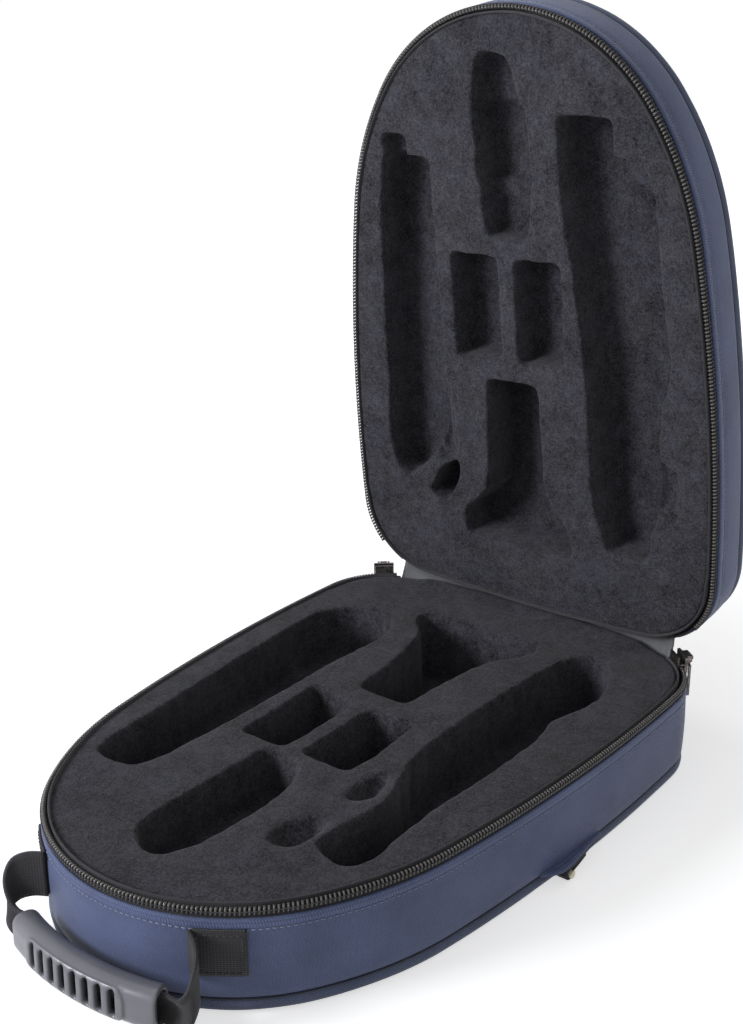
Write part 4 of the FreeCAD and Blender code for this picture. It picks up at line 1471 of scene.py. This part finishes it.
def stadium(centre_x, half_x, half_y, corner, step):
    """Closed outline of a rectangle with rounded corners, as evenly spaced points."""
    shares = []
    for sign_x, sign_y, start in ((1, 1, 0), (-1, 1, 90), (-1, -1, 180), (1, -1, 270)):
        for degrees in range(start, start + 91, turn_step):
            turn = math.radians(degrees)
            shares.append((centre_x + sign_x * (half_x - corner) + corner * math.cos(turn),
                           sign_y * (half_y - corner) + corner * math.sin(turn)))
    return resampled(np.array(shares), step)


def handle_grip(materials):
    """Moulded grip as a thick skin: a bent tube, a raised panel, slots and eased lips."""
    centre, radius, end, chord = grip_arc()
    outer_girth = girth(grip_thickness, grip_height, grip_corner)
    bore_girth = girth(bore_thickness, bore_height, bore_corner)
    half_run = radius * end
    half_panel = slot_pitch * (slot_count - 1) / 2 + slot_width / 2 + panel_margin
    panel = stadium(0.0, half_panel, panel_height / 2, panel_corner, grip_net / 2)
    slots = [stadium((i - (slot_count - 1) / 2) * slot_pitch, slot_width / 2, slot_length / 2,
                     slot_width / 2 - edge_tolerance, grip_net / 3) for i in range(slot_count)]
    xs = even(-half_run, half_run, grip_net)
    ys = even(-outer_girth / 2, outer_girth / 2, grip_net)
    border = [(x, ys[0]) for x in xs[:-1]] + [(xs[-1], y) for y in ys[:-1]]
    border += [(x, ys[-1]) for x in xs[:0:-1]] + [(xs[0], y) for y in ys[:0:-1]]
    rings = []
    for reach in (panel_ease, panel_ease / 3, -panel_ease / 3, -panel_ease):
        rings.append(whole_ring(panel + outward(panel) * reach))
    for slot in slots:
        for reach_share in reversed(slot_reach_shares):
            rings.append(whole_ring(slot + outward(slot) * (slot_ease * reach_share)))
    lips = [half_run - lip_ease * share for share in lip_reach_shares[1:]]
    loose = [(sign * x, y) for x in lips for sign in (-1, 1) for y in ys[1:-1]]
    inner_xs = [x for x in xs if abs(x) < lips[-1] - grip_net / 2]
    grid = np.array([(x, y) for x in inner_xs for y in ys[1:-1]])
    near = np.abs(distance_outside(grid, panel))
    for slot in slots:
        near = np.minimum(near, distance_outside(grid, slot) - slot_ease)
    loose += [tuple(p) for p in grid[near > grid_clear_share * grip_net]]
    places, faces = triangulated(np.array(border), rings, loose)

    slot_gap = np.min([distance_outside(places, slot) for slot in slots], axis=0)
    rise = panel_rise * np.interp(
        -distance_outside(places, panel) / panel_ease, panel_reach_shares, panel_rise_shares)
    rise -= slot_ease * np.interp(slot_gap / slot_ease, slot_reach_shares, slot_drop_shares)
    lip = (half_run - np.abs(places[:, 0])) / lip_ease
    rise -= lip_ease * np.interp(lip, lip_reach_shares, lip_drop_shares)

    def skin_point(x, out_reach, up):
        turn = x / radius
        p = centre + Vector((math.sin(turn), -math.cos(turn), 0)) * (radius + out_reach) + Vector((0, 0, up))
        return hung_point(p, chord, 1.0)

    outer, inner = [], []
    for (x, y), lift in zip(places, rise):
        a, up, out, out_up = rounded_place(y, grip_thickness, grip_height, grip_corner)
        outer.append(skin_point(x, a + out * lift, up + out_up * lift))
        bore_run = y * bore_girth / outer_girth
        a, up = rounded_place(bore_run, bore_thickness, bore_height, bore_corner)[:2]
        inner.append(skin_point(x, a, up))
    middles = np.array([places[list(face)].mean(0) for face in faces])
    gaps = np.min([distance_outside(middles, slot) for slot in slots], axis=0)
    kept = [face for face, gap in zip(faces, gaps) if gap > 0]
    net = Net()
    net.points = outer + inner
    first = len(outer)
    uses = {}
    for face in kept:
        net.add_face(face, [tuple(places[i]) for i in face])
        net.add_face(tuple(first + i for i in reversed(face)), [tuple(places[i]) for i in reversed(face)])
        for a, b in zip(face, face[1:] + face[:1]):
            uses[frozenset((a, b))] = uses.get(frozenset((a, b)), 0) + 1
    seam = outer_girth / 2 - edge_tolerance
    for edge, count in uses.items():
        a, b = sorted(edge)
        on_seam = abs(places[a][1]) > seam and abs(places[b][1]) > seam
        if count == 1 and not on_seam:
            net.add_face((a, b, first + b, first + a), [tuple(places[i]) for i in (a, b, b, a)])
    obj = net.piece("handle_grip_shell", materials["grip"])
    fitted(obj, "handle", "grip_plastic", "handle_grip")


def handle_anchor(side, materials):
    """The strap's end, sewn flat to the nose with a row of stitches along each edge."""
    sign = 1 if side == "right" else -1
    start = nose_radius * math.asin(anchor_inner_x / nose_radius)
    runs = [sign * run for run in even(start, start + anchor_length, fine_step)]
    low = anchor_centre_height - webbing_width / 2
    high = anchor_centre_height + webbing_width / 2
    face = webbing_thickness
    section = [
        (0.0, low), (face - webbing_edge, low), (face, low + webbing_edge),
        (face, anchor_centre_height), (face, high - webbing_edge), (face - webbing_edge, high), (0.0, high),
    ]
    rows = [[rim_point(run, offset, z) for offset, z in section] for run in runs]
    us = [abs(run) for run in runs]
    patch = closed_band("handle_patch_" + side, materials["webbing"], rows, us)
    fitted(patch, "base", "webbing", "handle_anchor_" + side)

    threads = Net()
    first, last = start + patch_stitch_inset, start + anchor_length - patch_stitch_inset
    bottom, top = low + patch_stitch_inset, high - patch_stitch_inset
    # Run, height, length along the rim and length upwards of each stitch
    stitches = [(run, z, 0.0, stitch_length)
                for run in (first, last) for z in even(bottom, top, stitch_pitch)[:-1]]
    stitches += [(run, z, stitch_length, 0.0)
                 for z in (bottom, top) for run in even(first, last, stitch_pitch)[:-1]]
    for run, z, along, up in stitches:
        out = rim_frame(sign * run)[1]
        a = rim_point(sign * run, face, z)
        b = rim_point(sign * (run + along), face, z + up)
        stitch_net(threads, a, b, Vector((out.x, out.y, 0)), stitch_width)
    fitted(threads.piece("handle_patch_stitches_" + side, materials["black_thread"]), "base", "webbing")


# Strap tabs

def tab_places():
    root = tab_gap + max(0.0, piping_diameter / 2 - piping_inset)
    near = side_x(tab_bar_y, root)
    far = near + tab_reach - 2 * bar_overhang
    loop_radius = bar_diameter / 2 + loop_gap + loop_wall
    return root, near, far, loop_radius, loop_radius + piping_lift


def tab_far(y):
    """Outer edge of the tab at y."""
    root, near, far, loop_radius, bar_z = tab_places()
    if y < tab_bar_y - loop_radius:
        share = (y - tab_nose_y) / (tab_bar_y - loop_radius - tab_nose_y)
        start = side_x(tab_nose_y, root)
        return start + (far - start) * math.sin(share * math.pi / 2)
    if y < tab_bar_y + loop_radius:
        return far
    share = (y - tab_bar_y - loop_radius) / (tab_hinge_y - tab_bar_y - loop_radius)
    return far + share * (side_x(tab_hinge_y, root) + wing_thickness - far)


def mirrored_rows(rows, sign):
    return [[Vector((sign * p.x, p.y, p.z)) for p in row] for row in rows]


def strap_wing(side, materials):
    """Cloth flap from the seam out over the loop."""
    sign = 1 if side == "right" else -1
    root, near, far, loop_radius, bar_z = tab_places()
    low = bar_z + loop_radius + tab_gap / 2
    ys = even(tab_nose_y, tab_hinge_y, fine_step)
    rows = []
    for y in ys:
        inner = side_x(y, -wing_tuck)
        outer = max(tab_far(y), inner + 2 * wing_thickness)
        upper = []
        lower = []
        for i in range(wing_steps + 1):
            share = i / wing_steps
            x = inner + (outer - inner) * share
            wave = wing_wave * wander(y / wing_wave_length, share, wing_seed)
            level = low + wing_sag * (1 - share ** 2) + wave
            rounding = wing_thickness / 2 if i == wing_steps else 0.0
            upper.append(Vector((x, y, level + wing_thickness - rounding)))
            lower.append(Vector((x, y, level + rounding * wing_round_share)))
        rows.append(upper + lower[::-1])
    obj = closed_band("strap_wing_cloth_" + side, materials["navy"], mirrored_rows(rows, sign), ys)
    fitted(obj, "base", "outer_fabric", "strap_wing_" + side)


def strap_loop(side, materials):
    """Webbing that comes down from the seam, goes round the bar and back under itself."""
    sign = 1 if side == "right" else -1
    root, near, far, loop_radius, bar_z = tab_places()
    middle = loop_radius - loop_wall / 2
    tail_z = seam_height - loop_wall / 2
    path = [(tab_hinge_y, tail_z, 0.0, 1.0)]
    top_z = bar_z + middle
    for share in loop_lead_shares:
        path.append((tab_bar_y + share * (tab_hinge_y - tab_bar_y),
                     top_z + share * (tail_z - top_z), 0.0, 1.0))
    for degrees in range(90, 361, turn_step):
        turn = math.radians(degrees)
        path.append((tab_bar_y + middle * math.cos(turn), bar_z + middle * math.sin(turn),
                     math.cos(turn), math.sin(turn)))
    back_z = top_z - loop_wall
    for share in loop_tail_shares:
        path.append((tab_bar_y + middle + share * loop_tail_length,
                     bar_z + share * (back_z - bar_z), 0.0, -1.0))
    rows = []
    us = []
    run = 0.0
    for i, (y, z, out_y, out_z) in enumerate(path):
        if i:
            run += math.hypot(y - path[i - 1][0], z - path[i - 1][1])
        us.append(run)
        inner = side_x(min(max(y, tab_nose_y), tab_hinge_y), root)
        outer = tab_far(y) if y > tab_bar_y else far
        half = loop_wall / 2
        row = []
        for x, level in ((inner, 1), (outer - half / 2, 1), (outer, 0.5), (outer, -0.5),
                         (outer - half / 2, -1), (inner, -1)):
            row.append(Vector((x, y + out_y * half * level, z + out_z * half * level)))
        rows.append(row)
    obj = closed_band("strap_loop_webbing_" + side, materials["webbing"], mirrored_rows(rows, sign), us)
    fitted(obj, "base", "webbing", "strap_loop_" + side)


# Solids that keep their shape

def finish_solids(materials):
    finishes = {
        "base_floor_board": "board", "lid_top_board": "board",
        "base_wall_frame": "binding", "lid_wall_frame": "binding",
    }
    for side in ("right", "left"):
        finishes["zip_slider_" + side] = "metal"
        finishes["zip_pull_" + side] = "metal"
        finishes["zip_end_stop_" + side] = "metal"
        finishes["strap_bar_" + side] = "bar"
    for node, finish in finishes.items():
        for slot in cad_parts[node].material_slots:
            slot.material = materials[finish]


# Surroundings

def seen_share(tree):
    """1 for what the camera or a reflection sees, 0 for the light that falls on the object."""
    path = add(tree, "ShaderNodeLightPath").outputs
    mirrored = maths(tree, "MAXIMUM", path["Is Glossy Ray"], path["Is Transmission Ray"])
    return maths(tree, "MAXIMUM", path["Is Camera Ray"], mirrored)


def pale_floor():
    made, tree, shader = surface("pale floor", {
        "Base Color": colour(0.85, 0.85, 0.85), "Roughness": 0.9, "Specular IOR Level": 0.0,
    })
    away = add(tree, "ShaderNodeVectorMath", {0: object_places(tree)}, operation="LENGTH").outputs["Value"]
    whiteness = add(tree, "ShaderNodeMapRange", {
        "Value": away, "From Min": floor_near, "From Max": floor_far, "To Min": floor_glow, "To Max": 1.0,
    }, interpolation_type="SMOOTHSTEP").outputs["Result"]
    glow = add(tree, "ShaderNodeEmission", {
        "Color": colour(1, 1, 1), "Strength": maths(tree, "MULTIPLY", seen_share(tree), whiteness),
    })
    summed = add(tree, "ShaderNodeAddShader", {0: shader.outputs[0], 1: glow.outputs[0]})
    tree.links.new(summed.outputs[0], tree.nodes["Material Output"].inputs["Surface"])
    corners = [(x * floor_reach, y * floor_reach, -floor_drop)
               for x, y in ((-1, -1), (1, -1), (1, 1), (-1, 1))]
    mesh = bpy.data.meshes.new("floor")
    mesh.from_pydata(corners, [], [(0, 1, 2, 3)])
    mesh.materials.append(made)
    obj = placed("floor", mesh)


def pale_world(light):
    world = bpy.data.worlds.new("studio")
    world.use_nodes = True
    tree = world.node_tree
    background = tree.nodes["Background"]
    background.inputs["Color"].default_value = colour(1, 1, 1)
    share = seen_share(tree)
    strength = add(tree, "ShaderNodeMapRange", {"Value": share, "To Min": light, "To Max": 1.0})
    tree.links.new(strength.outputs["Result"], background.inputs["Strength"])
    bpy.context.scene.world = world


def lamp(name, place, target, size, watts, tint):
    data = bpy.data.lights.new(name, "AREA")
    data.shape = "DISK"
    data.size = size
    data.energy = watts
    data.color = tint
    obj = placed(name, data)
    obj.location = place
    obj.rotation_euler = (Vector(target) - Vector(place)).to_track_quat("-Z", "Y").to_euler()


def studio_light():
    pale_world(world_light)
    for settings in lamp_table:
        lamp(*settings)


def camera():
    azimuth = math.radians(camera_azimuth)
    elevation = math.radians(camera_elevation)
    roll = math.radians(camera_roll)
    back = Vector((math.sin(azimuth) * math.cos(elevation), -math.cos(azimuth) * math.cos(elevation),
                   math.sin(elevation)))
    level = (-back).cross(Vector((0, 0, 1))).normalized()
    upright = level.cross(-back)
    right = level * math.cos(roll) + upright * math.sin(roll)
    up = upright * math.cos(roll) - level * math.sin(roll)
    data = bpy.data.cameras.new("camera")
    data.sensor_width = sensor_width
    data.lens = sensor_width * camera_focus / photo_height
    data.shift_x = (photo_width / 2 - camera_centre_x) / photo_height
    data.shift_y = (camera_centre_y - photo_height / 2) / photo_height
    data.clip_start = near_clip
    obj = placed("camera", data)
    turn = Matrix((right, up, back)).transposed().to_4x4()
    obj.matrix_world = Matrix.Translation(Vector(camera_place) * MM) @ turn
    bpy.context.scene.camera = obj


def build():
    materials = all_materials()
    for shell, end_angle in (("base", base_coil_end_angle), ("lid", lid_coil_end_angle)):
        side_cover(shell, materials)
        piping(shell, materials)
        zip_tape(shell, materials)
        zip_coil(shell, materials, end_angle)
        zip_cord(shell, materials, end_angle)
        rim_binding(shell, materials)
        plush_insert(shell, materials)
    outer_panel("base_floor_cloth", "base", materials, 0.0, "base_floor_cover")
    outer_panel("lid_top_cloth", "lid", materials, lid_crown, "lid_top_cover")
    hinge_gusset(materials)
    handle_strap(materials)
    handle_grip(materials)
    for side in ("right", "left"):
        handle_anchor(side, materials)
        strap_wing(side, materials)
        strap_loop(side, materials)
    finish_solids(materials)


camera()
build()
pale_floor()
studio_light()
bpy.context.scene.view_settings.view_transform = "Standard"
